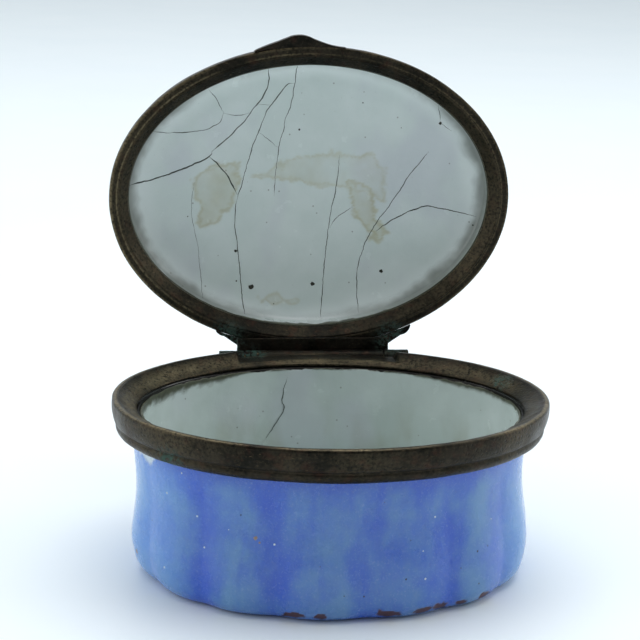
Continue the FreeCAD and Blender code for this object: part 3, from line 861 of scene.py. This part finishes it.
def on_lid(place):
    """Give points on the lid's white face, and their normals, from (X, up)."""
    x, y = place[:, 0], -place[:, 1]
    here = dish(x, y, ENAMEL_DEPTH)
    step = 0.05
    slope_x = (dish(x + step, y, ENAMEL_DEPTH) - here) / step
    slope_y = (dish(x, y + step, ENAMEL_DEPTH) - here) / step
    normal = np.stack([slope_x, slope_y, -np.ones(len(x))], axis=-1)
    normal /= np.linalg.norm(normal, axis=1)[:, None]
    base = np.stack([x, y, here], axis=-1)
    return opened(base), opened(base + normal) - opened(base)


def on_tub_back(place):
    """Give points on the back of the tub's white enamel, and their normals, from (X, height)."""
    x, height = place[:, 0], place[:, 1]
    inward = tub_inside(height)
    depth = TUB_HALF_DEPTH - inward
    width = TUB_HALF_WIDTH - inward
    y = depth * np.sqrt(1 - (x / width) ** 2)
    base = leaning(np.stack([x, y, height], axis=-1))
    normal = np.tile((0.0, -1.0, 0.0), (len(x), 1))
    return base, normal


def dome_dot(middle, normal, radius, height, sides=12):
    """Give the points and faces of a small round spot on a surface, sunk at its rim."""
    normal = Vector(normal).normalized()
    turn = normal.to_track_quat("Z", "Y").to_matrix()
    rng = random.Random(round(1000 * (middle[0] + 3 * middle[1] + 7 * middle[2])))
    reach = [radius * rng.uniform(0.75, 1.2) for _ in range(sides)]
    points = []
    for share, lift in ((1.0, -0.04), (0.8, height * 0.7), (0.4, height)):
        for side in range(sides):
            angle = math.tau * side / sides
            flat = Vector((math.cos(angle), math.sin(angle), 0)) * reach[side] * share
            points.append(Vector(middle) + turn @ (flat + Vector((0, 0, lift))))
    points.append(Vector(middle) + normal * height * 1.05)
    points.append(Vector(middle) - normal * 0.05)
    faces = []
    for row in range(2):
        for side in range(sides):
            beside = (side + 1) % sides
            here, there = row * sides, (row + 1) * sides
            faces.append((here + side, here + beside, there + beside, there + side))
    top, bottom = 3 * sides, 3 * sides + 1
    for side in range(sides):
        beside = (side + 1) % sides
        faces.append((2 * sides + side, 2 * sides + beside, top))
        faces.append((side, bottom, beside))
    return np.array(points), faces


def build_cracks(material):
    """Lay the dark cracks on the lid's enamel and on the back of the tub's."""
    parts = []
    for index, (width, points) in enumerate(LID_CRACKS):
        line = wandering(points, 0.12, 200 + 10 * index)
        parts.append(ribbon(line, width * CRACK_WIDENING, on_lid, 300 + index))
    piece = new_piece("lid_craze_lines", *join(parts), "lid", "white_enamel")
    dress(piece, material)
    line = wandering(TUB_CRACK, 0.12, 400)
    piece = new_piece("tub_craze_line", *ribbon(line, 0.07, on_tub_back, 410), "box", "white_enamel")
    dress(piece, material)


# Specks in the front of the blue glaze: X, height and radius. Most places follow a scratch
# script that projected points read off the photo, as report.md says.
WHITE_SPECKS = (
    (-16.0, 13.7, 0.10), (-17.3, 11.0, 0.13), (-14.5, 9.5, 0.13), (-13.8, 6.5, 0.13),
    (-17.5, 3.3, 0.14), (-11.6, 8.9, 0.08), (-7.3, 7.9, 0.13), (8.4, 10.3, 0.12),
    (7.2, 7.1, 0.09), (7.5, 4.3, 0.14), (14.8, 8.7, 0.11),
)
DARK_SPECKS = (
    (-10.5, 10.6, 0.09), (13.2, 6.0, 0.13), (14.4, 6.2, 0.09), (5.5, 4.5, 0.12),
    (1.4, 2.9, 0.11), (-0.6, 3.1, 0.08), (13.5, 2.6, 0.10), (5.9, 8.3, 0.07),
    (11.4, 4.6, 0.09), (-3.0, 6.1, 0.06), (3.1, 12.4, 0.06), (-18.6, 7.2, 0.07),
)
TAN_SPECKS = ((-9.1, 8.4, 0.24), (-8.7, 8.0, 0.13), (-20.0, 2.8, 0.30))


def build_specks(name, glaze, specks, material):
    """Set specks of one colour in the front of the glaze."""
    parts = []
    for x, height, radius in specks:
        start = Vector((x, -2 * TUB_HALF_DEPTH, height)) * MM
        found, place, normal, _ = glaze.ray_cast(start, Vector((0, 1, 0)))
        if found:
            parts.append(dome_dot(place / MM, normal, radius, 0.015))
    piece = new_piece(name, *join(parts), "box", "blue_enamel")
    dress(piece, material)


def build_pits(material):
    """Set the dark pits in the lid's enamel."""
    parts = []
    for x, up, radius in LID_PITS:
        base, normal = on_lid(np.array([(x, up)]))
        parts.append(dome_dot(base[0], normal[0], radius, 0.02))
    piece = new_piece("lid_enamel_pits", *join(parts), "lid", "white_enamel")
    dress(piece, material)


# ---------------------------------------------------------------- the hinge and the thumbpiece


# The thumbpiece is worn low: the height it stands from, and the share of its rise that is gone.
THUMB_FOOT = 51.3
THUMB_LOWERED = 0.34


def worn_copy(name, node, body, voxel, amount, seed):
    """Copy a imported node's mesh, round its edges and pit it, as worn metal is."""
    source = nodes[node]
    piece = bpy.data.objects.new(name, source.data.copy())
    bpy.context.scene.collection.objects.link(piece)
    remesh = piece.modifiers.new("remesh", "REMESH")
    remesh.mode = "VOXEL"
    remesh.voxel_size = voxel * MM
    smooth = piece.modifiers.new("smooth", "SMOOTH")
    smooth.iterations = 4
    bpy.context.view_layer.update()
    graph = bpy.context.evaluated_depsgraph_get()
    mesh = bpy.data.meshes.new_from_object(piece.evaluated_get(graph))
    piece.modifiers.clear()
    piece.data = mesh
    mesh.shade_smooth()
    flat = points_of(piece)
    push(piece, amount * (rough_noise(flat, 1.2, seed) + 0.4 * rough_noise(flat, 0.35, seed + 3)))
    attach(piece, body)
    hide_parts(node)
    return piece


def build_hinge(metal):
    """Build the worn leaf, ledge, knuckles and thumbpiece."""
    pieces = (
        worn_copy("hinge_leaf", "lid_hinge_plate", "lid", 0.07, 0.030, 501),
        worn_copy("hinge_ledge", "body_hinge_plate", "box", 0.08, 0.025, 503),
        worn_copy("knuckle_of_lid", "lid_knuckle", "lid", 0.07, 0.012, 505),
        worn_copy("knuckle_left", "body_knuckle_left", "box", 0.07, 0.014, 507),
        worn_copy("knuckle_right", "body_knuckle_right", "box", 0.07, 0.014, 509),
        worn_copy("thumb_lip", "thumbpiece", "lid", 0.07, 0.025, 511),
    )
    thumb_lip = pieces[-1]
    flat = points_of(thumb_lip)
    over = np.maximum(flat[:, 2] - THUMB_FOOT, 0)
    flat[:, 2] -= over * THUMB_LOWERED
    thumb_lip.data.vertices.foreach_set("co", (flat * MM).ravel())
    thumb_lip.data.update()
    for piece in pieces:
        dress(piece, metal)


# ---------------------------------------------------------------- materials


class Graph:
    """A material's node tree, with short calls for the nodes that these materials use."""

    def __init__(self, name):
        self.material = bpy.data.materials.new(name)
        self.material.use_nodes = True
        self.tree = self.material.node_tree
        self.shader = self.tree.nodes["Principled BSDF"]
        place = self.tree.nodes.new("ShaderNodeTexCoord")
        in_mm = self.tree.nodes.new("ShaderNodeVectorMath")
        in_mm.operation = "SCALE"
        in_mm.inputs["Scale"].default_value = 1 / MM
        self.tree.links.new(place.outputs["Object"], in_mm.inputs[0])
        self.place = in_mm.outputs[0]

    def feed(self, socket, value):
        """Link a socket to another node's output, or set its value."""
        if isinstance(value, bpy.types.NodeSocket):
            self.tree.links.new(value, socket)
        else:
            socket.default_value = value

    def math(self, operation, first, second=0.0, clamp=False):
        """Combine two numbers."""
        node = self.tree.nodes.new("ShaderNodeMath")
        node.operation = operation
        node.use_clamp = clamp
        self.feed(node.inputs[0], first)
        self.feed(node.inputs[1], second)
        return node.outputs[0]

    def stretched(self, x, y, z):
        """Give the place in millimetres, scaled along each axis."""
        node = self.tree.nodes.new("ShaderNodeVectorMath")
        node.operation = "MULTIPLY"
        self.feed(node.inputs[0], self.place)
        node.inputs[1].default_value = (x, y, z)
        return node.outputs[0]

    def noise(self, size, detail=3.0, roughness=0.55, place=None, twist=0.0):
        """Give cloudy noise with lumps of about a size in millimetres."""
        node = self.tree.nodes.new("ShaderNodeTexNoise")
        self.feed(node.inputs["Vector"], place or self.place)
        node.inputs["Scale"].default_value = 1 / size
        node.inputs["Detail"].default_value = detail
        node.inputs["Roughness"].default_value = roughness
        node.inputs["Distortion"].default_value = twist
        return node.outputs["Fac"]

    def spots(self, size):
        """Give the distance to scattered points about a size apart."""
        node = self.tree.nodes.new("ShaderNodeTexVoronoi")
        self.feed(node.inputs["Vector"], self.place)
        node.inputs["Scale"].default_value = 1 / size
        return node.outputs["Distance"]

    def painted(self, name):
        """Read a number painted on the mesh."""
        node = self.tree.nodes.new("ShaderNodeAttribute")
        node.attribute_name = name
        return node.outputs["Fac"]

    def ramp(self, value, low, high, start=0.0, end=1.0):
        """Map low..high to start..end smoothly."""
        node = self.tree.nodes.new("ShaderNodeMapRange")
        node.interpolation_type = "SMOOTHSTEP"
        self.feed(node.inputs["Value"], value)
        for key, number in zip(("From Min", "From Max", "To Min", "To Max"), (low, high, start, end)):
            self.feed(node.inputs[key], number)
        return node.outputs[0]

    def mix(self, share, first, second):
        """Blend two colours."""
        node = self.tree.nodes.new("ShaderNodeMix")
        node.data_type = "RGBA"
        self.feed(node.inputs[0], share)
        self.feed(node.inputs[6], first)
        self.feed(node.inputs[7], second)
        return node.outputs[2]

    def near(self, middle, radius):
        """Give 1 at a place in millimetres, falling to 0 at a radius."""
        node = self.tree.nodes.new("ShaderNodeVectorMath")
        node.operation = "DISTANCE"
        self.feed(node.inputs[0], self.place)
        node.inputs[1].default_value = middle
        return self.ramp(node.outputs["Value"], radius, radius * 0.25)

    def axis(self, index):
        """Give one coordinate of the place, in millimetres."""
        node = self.tree.nodes.new("ShaderNodeSeparateXYZ")
        self.feed(node.inputs[0], self.place)
        return node.outputs[index]

    def bump(self, height, distance, strength=1.0):
        """Tilt the surface by a height in millimetres."""
        node = self.tree.nodes.new("ShaderNodeBump")
        node.inputs["Strength"].default_value = strength
        node.inputs["Distance"].default_value = distance * MM
        self.feed(node.inputs["Height"], height)
        self.feed(self.shader.inputs["Normal"], node.outputs[0])

    def put(self, **values):
        """Set or link the shader's inputs; an underscore in a name stands for a space."""
        for key, value in values.items():
            self.feed(self.shader.inputs[key.replace("_", " ")], value)


def rgb(red, green, blue):
    """Give a colour from the 0 to 255 values it has on a screen."""
    parts = []
    for value in (red / 255, green / 255, blue / 255):
        parts.append(value / 12.92 if value <= 0.04045 else ((value + 0.055) / 1.055) ** 2.4)
    return (*parts, 1.0)


def blue_glaze_material():
    """Blue enamel: deep in the valleys, with a pale painted highlight on the lobes' crests and in streaks,
    speckled and glossy.
    """
    g = Graph("blue_glaze")
    streaks = g.noise(3.2, 3, 0.6, g.stretched(1, 1, 0.25), 0.5)
    cloud = g.noise(4.6, 4, 0.55)
    # Pale grey-blue on the lobes' crests and in soft streaks: painted highlight.
    crest = g.painted("crest")
    crest_sheen = g.math("ADD", g.math("MULTIPLY", crest, 0.50), g.math("MULTIPLY", streaks, 1.1))
    crest_sheen = g.math("ADD", crest_sheen, g.math("MULTIPLY", cloud, 1.3))
    share = g.ramp(crest_sheen, 1.05, 2.05)
    colour = g.mix(share, rgb(20, 80, 192), rgb(90, 138, 186))
    side = g.math("ABSOLUTE", g.axis(0))
    colour = g.mix(g.ramp(side, 13.5, 20.5, 0.0, 0.6), colour, rgb(104, 164, 226))
    # Deeper blue towards the top, under the mount.
    deep_under_mount = g.ramp(g.math("ADD", g.axis(2), g.math("MULTIPLY", streaks, 3.0)), 14.0, 17.2)
    colour = g.mix(g.math("MULTIPLY", deep_under_mount, 0.75), colour, rgb(30, 80, 190))
    grain = g.noise(0.22, 2, 0.6)
    colour = g.mix(g.ramp(grain, 0.52, 0.80, 0.0, 0.22), colour, rgb(160, 186, 216))
    colour = g.mix(g.ramp(grain, 0.44, 0.20, 0.0, 0.25), colour, rgb(40, 70, 164))
    dirt = g.ramp(g.noise(1.6, 5, 0.7), 0.60, 0.82, 0.0, 0.28)
    colour = g.mix(dirt, colour, rgb(96, 110, 140))
    colour = g.mix(g.painted("bare"), colour, rgb(190, 206, 218))
    ragged_top = g.math("ADD", g.axis(2), g.math("MULTIPLY", g.noise(0.7, 4, 0.7), 0.7))
    colour = g.mix(g.ramp(ragged_top, 15.15, 15.5), colour, rgb(34, 32, 26))
    chip = g.painted("chip")
    chipped = g.mix(g.noise(0.35, 3), rgb(40, 16, 30), rgb(84, 38, 54))
    colour = g.mix(chip, colour, chipped)
    rough = g.math("ADD", g.ramp(g.noise(1.4, 4, 0.6), 0.3, 0.8, 0.16, 0.34), g.math("MULTIPLY", chip, 0.4))
    g.bump(g.math("ADD", g.noise(0.5, 3, 0.5), g.math("MULTIPLY", g.noise(0.09, 2), 0.12)), 0.035)
    g.put(Base_Color=colour, Roughness=rough, IOR=1.54, Coat_Weight=0.35, Coat_Roughness=0.08)
    return g.material


def white_enamel_material(name, dull, clear):
    """White enamel gone grey-green, with glue stains and grime at its edge, painted shade at the lid's edge
    and low in the tub, and a painted highlight inside the lid's rim.
    """
    g = Graph(name)
    cloud = g.noise(6.0, 4, 0.55)
    colour = g.mix(g.ramp(cloud, 0.35, 0.68), dull, clear)
    # Faint upright grey streaks, only low in the tub: painted shade of the lobes.
    lobe_shade = g.ramp(g.noise(4.5, 3, 0.5, g.stretched(1, 1, 0.35)), 0.46, 0.70, 0.0, 0.5)
    low_down = g.ramp(g.axis(2), 15.0, 9.0)
    colour = g.mix(g.math("MULTIPLY", lobe_shade, low_down), colour, rgb(166, 168, 150))
    lilac = g.ramp(g.noise(9.0, 2, 0.5, g.stretched(1.3, 1, 0.8)), 0.50, 0.70, 0.0, 0.5)
    colour = g.mix(lilac, colour, rgb(200, 204, 212))
    # Whiter where the rim number is high, inside the lid's rim: painted highlight.
    colour = g.mix(g.math("MULTIPLY", g.painted("rim_highlight"), 0.75), colour, rgb(234, 242, 240))
    speck = g.ramp(g.spots(1.7), 0.075, 0.035, 0.0, 0.55)
    colour = g.mix(speck, colour, rgb(104, 104, 88))
    fine = g.ramp(g.noise(0.35, 4, 0.7), 0.62, 0.80, 0.0, 0.30)
    colour = g.mix(fine, colour, rgb(160, 164, 150))
    tan = g.mix(g.noise(0.9, 4, 0.6), rgb(198, 197, 160), rgb(160, 153, 106))
    colour = g.mix(g.painted("stain"), colour, tan)
    # Dark green where the edge number is high: real grime, and on the lid also painted shade by the lip and
    # rim.
    edge = g.painted("edge")
    green = g.mix(g.noise(0.7, 3), rgb(30, 32, 24), rgb(84, 88, 62))
    colour = g.mix(edge, colour, green)
    rough = g.math("ADD", g.ramp(g.noise(2.0, 4, 0.6), 0.3, 0.8, 0.16, 0.30), g.math("MULTIPLY", edge, 0.35))
    g.bump(g.math("ADD", g.noise(0.9, 3, 0.5), g.math("MULTIPLY", g.noise(0.12, 2), 0.10)), 0.03)
    g.put(Base_Color=colour, Roughness=rough, IOR=1.52, Coat_Weight=0.3, Coat_Roughness=0.10)
    return g.material


def painted_lid_material():
    """The lid's outside: a pale ground inside a blue border, with a thin line between."""
    g = Graph("painted_lid")
    cloud = g.noise(4.5, 4, 0.6)
    ground = g.mix(g.ramp(cloud, 0.35, 0.7), rgb(196, 208, 214), rgb(210, 216, 216))
    blue = g.mix(g.ramp(g.noise(2.6, 4, 0.6), 0.3, 0.7), rgb(58, 92, 182), rgb(104, 138, 196))
    colour = g.mix(g.painted("border"), ground, blue)
    line = g.math("MULTIPLY", g.painted("line"), g.ramp(g.noise(1.1, 4, 0.6), 0.35, 0.50))
    colour = g.mix(line, colour, rgb(96, 78, 44))
    grain = g.ramp(g.noise(0.25, 2, 0.6), 0.60, 0.85, 0.0, 0.35)
    colour = g.mix(grain, colour, rgb(120, 126, 136))
    colour = g.mix(g.ramp(g.spots(2.3), 0.06, 0.03, 0.0, 0.7), colour, rgb(60, 52, 46))
    g.bump(g.math("ADD", g.noise(0.8, 3), g.math("MULTIPLY", g.noise(0.1, 2), 0.12)), 0.03)
    g.put(Base_Color=colour, Roughness=g.ramp(cloud, 0.3, 0.8, 0.15, 0.32), IOR=1.54)
    g.put(Coat_Weight=0.35, Coat_Roughness=0.08)
    return g.material


# Where verdigris has grown: middle and reach.
VERDIGRIS = (
    ((-9.4, 18.4, 18.6), 3.4),
    ((9.6, 18.8, 18.8), 2.8),
    ((-17.6, -10.6, 15.0), 2.6),
    ((19.5, 6.0, 17.2), 2.0),
    ((-6.5, 17.0, 17.6), 2.4),
)


def tarnished_metal(name, rubbed_and_lit):
    """Gilt copper alloy gone brown-black, brassy where worn and where a painted highlight lies, and green in
    places.

    The number named is painted with wear and painted highlight; None finds the worn edges from the shape
    instead.
    """
    g = Graph(name)
    cloud = g.noise(2.4, 5, 0.62)
    fine = g.noise(0.30, 4, 0.65)
    colour = g.mix(g.ramp(cloud, 0.38, 0.66), rgb(19, 19, 15), rgb(42, 38, 31))
    colour = g.mix(g.ramp(fine, 0.50, 0.74, 0.0, 0.35), colour, rgb(70, 60, 46))
    ruddy = g.ramp(g.noise(1.3, 4, 0.6), 0.50, 0.72, 0.0, 0.5)
    colour = g.mix(ruddy, colour, rgb(58, 36, 28))
    # Brass shows where the painted number is high, which is real wear and painted highlight; without it, on
    # the worn edges found from the shape.
    if rubbed_and_lit:
        bare = g.math("MULTIPLY", g.painted(rubbed_and_lit), g.ramp(fine, 0.30, 0.55))
    else:
        shape = g.tree.nodes.new("ShaderNodeNewGeometry").outputs["Pointiness"]
        bare = g.math("MULTIPLY", g.ramp(shape, 0.53, 0.64, 0.0, 0.5), g.ramp(fine, 0.35, 0.65))
    brass = g.mix(g.noise(0.8, 3), rgb(92, 82, 62), rgb(130, 118, 92))
    colour = g.mix(bare, colour, brass)
    scratches = g.ramp(g.noise(0.22, 3, 0.7, g.stretched(0.35, 0.35, 1.6)), 0.64, 0.72, 0.0, 0.5)
    colour = g.mix(scratches, colour, rgb(112, 98, 74))
    grown = None
    for middle, reach in VERDIGRIS:
        spot = g.near(middle, reach)
        grown = spot if grown is None else g.math("MAXIMUM", grown, spot)
    crust = g.math("MULTIPLY", grown, g.ramp(g.noise(0.5, 5, 0.7), 0.44, 0.58))
    green = g.mix(g.noise(0.4, 3), rgb(18, 42, 34), rgb(48, 84, 70))
    colour = g.mix(crust, colour, green)
    pitted = g.ramp(g.spots(0.55), 0.30, 0.12, 0.0, 1.0)
    colour = g.mix(g.math("MULTIPLY", pitted, 0.35), colour, rgb(16, 14, 10))
    metal = g.math("SUBTRACT", 0.9, crust, True)
    rough = g.math("ADD", g.ramp(cloud, 0.3, 0.75, 0.30, 0.52), g.math("MULTIPLY", crust, 0.4))
    height = g.math("ADD", fine, g.math("MULTIPLY", g.noise(0.09, 3), 0.25))
    height = g.math("SUBTRACT", height, g.math("MULTIPLY", pitted, 0.5))
    g.bump(g.math("ADD", height, g.math("MULTIPLY", crust, 1.2)), 0.05, 0.8)
    g.put(Base_Color=colour, Metallic=metal, Roughness=rough)
    return g.material


def copper_material():
    """Copper oxidised dark red-brown, and nearly black at the top of the tub."""
    g = Graph("oxidised_copper")
    colour = g.mix(g.ramp(g.noise(1.6, 5, 0.6), 0.35, 0.7), rgb(30, 21, 17), rgb(66, 42, 31))
    colour = g.mix(g.ramp(g.axis(2), 15.4, 16.2), colour, rgb(20, 19, 15))
    colour = g.mix(g.ramp(g.noise(0.3, 4, 0.7), 0.55, 0.8, 0.0, 0.7), colour, rgb(22, 17, 15))
    g.bump(g.noise(0.25, 4, 0.6), 0.03)
    g.put(Base_Color=colour, Metallic=0.7, Roughness=g.ramp(g.noise(0.9, 3), 0.3, 0.8, 0.35, 0.6))
    return g.material


def pin_material():
    """Drawn brass wire, dulled, with marks along its length."""
    g = Graph("pin_brass")
    lines = g.noise(0.12, 3, 0.6, g.stretched(0.05, 1, 1))
    colour = g.mix(g.ramp(lines, 0.35, 0.7), rgb(96, 76, 44), rgb(168, 138, 84))
    colour = g.mix(g.ramp(g.noise(1.2, 4), 0.5, 0.7, 0.0, 0.8), colour, rgb(52, 46, 32))
    g.bump(lines, 0.01)
    g.put(Base_Color=colour, Metallic=0.95, Roughness=g.ramp(lines, 0.3, 0.7, 0.28, 0.45))
    return g.material


def dirt_material(name, dark, light):
    """Dirt or burnt material packed in a crack, a pit or a pinhole."""
    g = Graph(name)
    g.bump(g.noise(0.1, 3), 0.01)
    colour = g.mix(g.noise(0.5, 4, 0.7), dark, light)
    g.put(Base_Color=colour, Roughness=g.ramp(g.noise(0.3), 0.3, 0.7, 0.5, 0.8))
    return g.material


def floor_material():
    """Plain pale card."""
    g = Graph("pale_card")
    colour = g.mix(g.noise(40.0, 2), rgb(236, 243, 247), rgb(240, 246, 249))
    g.put(Base_Color=colour, Roughness=g.ramp(g.noise(25.0), 0.3, 0.7, 0.45, 0.6))
    return g.material


# ---------------------------------------------------------------- floor, lights and camera


# The soft room's strength in front of the box and behind it.
FRONT_LIGHT = 0.27
BACK_LIGHT = 0.96


def build_stage():
    """Lay the floor and light the box softly from above and behind."""
    bpy.ops.mesh.primitive_plane_add(size=6.0)
    floor = bpy.context.object
    floor.name = "floor"
    dress(floor, floor_material())
    world = bpy.data.worlds.new("soft_room")
    bpy.context.scene.world = world
    world.use_nodes = True
    tree = world.node_tree
    place = tree.nodes.new("ShaderNodeTexCoord")
    split = tree.nodes.new("ShaderNodeSeparateXYZ")
    tree.links.new(place.outputs["Generated"], split.inputs[0])
    behind = tree.nodes.new("ShaderNodeMapRange")
    behind.interpolation_type = "SMOOTHSTEP"
    tree.links.new(split.outputs["Y"], behind.inputs["Value"])
    limits = {"From Min": -0.7, "From Max": 0.4, "To Min": FRONT_LIGHT, "To Max": BACK_LIGHT}
    for key, number in limits.items():
        behind.inputs[key].default_value = number
    background = tree.nodes["Background"]
    background.inputs["Color"].default_value = rgb(238, 247, 252)
    tree.links.new(behind.outputs[0], background.inputs["Strength"])


LIGHT_AIM = (0, 0, 0.02)


def soft_light(name, place, size, power):
    """Hang a square soft light at a place in metres, facing the box."""
    lamp = bpy.data.lights.new(name, "AREA")
    lamp.size = size
    lamp.energy = power
    holder = bpy.data.objects.new(name, lamp)
    bpy.context.scene.collection.objects.link(holder)
    holder.location = place
    holder.rotation_mode = "QUATERNION"
    holder.rotation_quaternion = (Vector(LIGHT_AIM) - Vector(place)).to_track_quat("-Z", "Y")


def place_camera():
    """Set the camera at the photograph's angle: low, and a little left of the front."""
    distance = 180 * MM
    elevation, azimuth = math.radians(17.88), math.radians(-9.14)
    roll, pitch, yaw = math.radians(2.15), math.radians(2.418), math.radians(0.410)
    facing = Matrix.Rotation(azimuth, 3, "Z") @ Matrix.Rotation(math.pi / 2 - elevation, 3, "X")
    target = Vector((0, 0, rim_high.z))
    spot = target + facing @ Vector((0, 0, distance))
    turned = facing @ Matrix.Rotation(roll, 3, "Z")
    turned = turned @ Matrix.Rotation(pitch, 3, "X") @ Matrix.Rotation(yaw, 3, "Y")
    lens = bpy.data.cameras.new("camera")
    lens.lens = 98.61
    lens.sensor_width = 36
    lens.clip_start = 0.005
    camera = bpy.data.objects.new("camera", lens)
    camera.matrix_world = Matrix.Translation(spot) @ turned.to_4x4()
    bpy.context.scene.collection.objects.link(camera)
    bpy.context.scene.camera = camera


# ---------------------------------------------------------------- the whole box

metal = tarnished_metal("tarnished_gilt", "wear_and_sheen")
edge_worn_metal = tarnished_metal("tarnished_gilt_small", None)
# One white enamel in two copies: darker inside the tub as painted shade, lighter on the lid as painted
# light.
tub_white_shaded = white_enamel_material("tub_white_shaded", rgb(192, 204, 200), rgb(202, 213, 210))
lid_white_lit = white_enamel_material("lid_white_lit", rgb(210, 222, 218), rgb(219, 229, 226))
copper = copper_material()
build_mounts(metal)
glaze = build_glaze(blue_glaze_material())
build_copper(copper)
build_white_enamel(tub_white_shaded)
build_lid_enamels(lid_white_lit, painted_lid_material())
bpy.context.view_layer.update()
speck_kinds = (
    ("white", WHITE_SPECKS, rgb(190, 204, 216), rgb(222, 230, 234)),
    ("dark", DARK_SPECKS, rgb(26, 26, 48), rgb(52, 46, 62)),
    ("tan", TAN_SPECKS, rgb(132, 108, 98), rgb(172, 152, 140)),
)
for kind, specks, dark, light in speck_kinds:
    speck_material = dirt_material(f"{kind}_speck", dark, light)
    build_specks(f"glaze_{kind}_specks", glaze, specks, speck_material)
build_hinge(edge_worn_metal)
build_cracks(dirt_material("crack_dirt", rgb(24, 32, 28), rgb(70, 78, 62)))
build_pits(dirt_material("pit_dirt", rgb(22, 24, 18), rgb(58, 56, 42)))
dress(nodes["lid_copper"], copper)
dress(nodes["hinge_pin"], pin_material())
build_stage()
soft_light("top_soft", (0.05, 0.10, 0.55), 0.5, 1.9)
for side, x in (("left", -0.5), ("right", 0.5)):
    soft_light(f"{side}_soft", (x, -0.05, 0.25), 0.35, 0.7)
place_camera()
bpy.context.scene.view_settings.view_transform = "Standard"
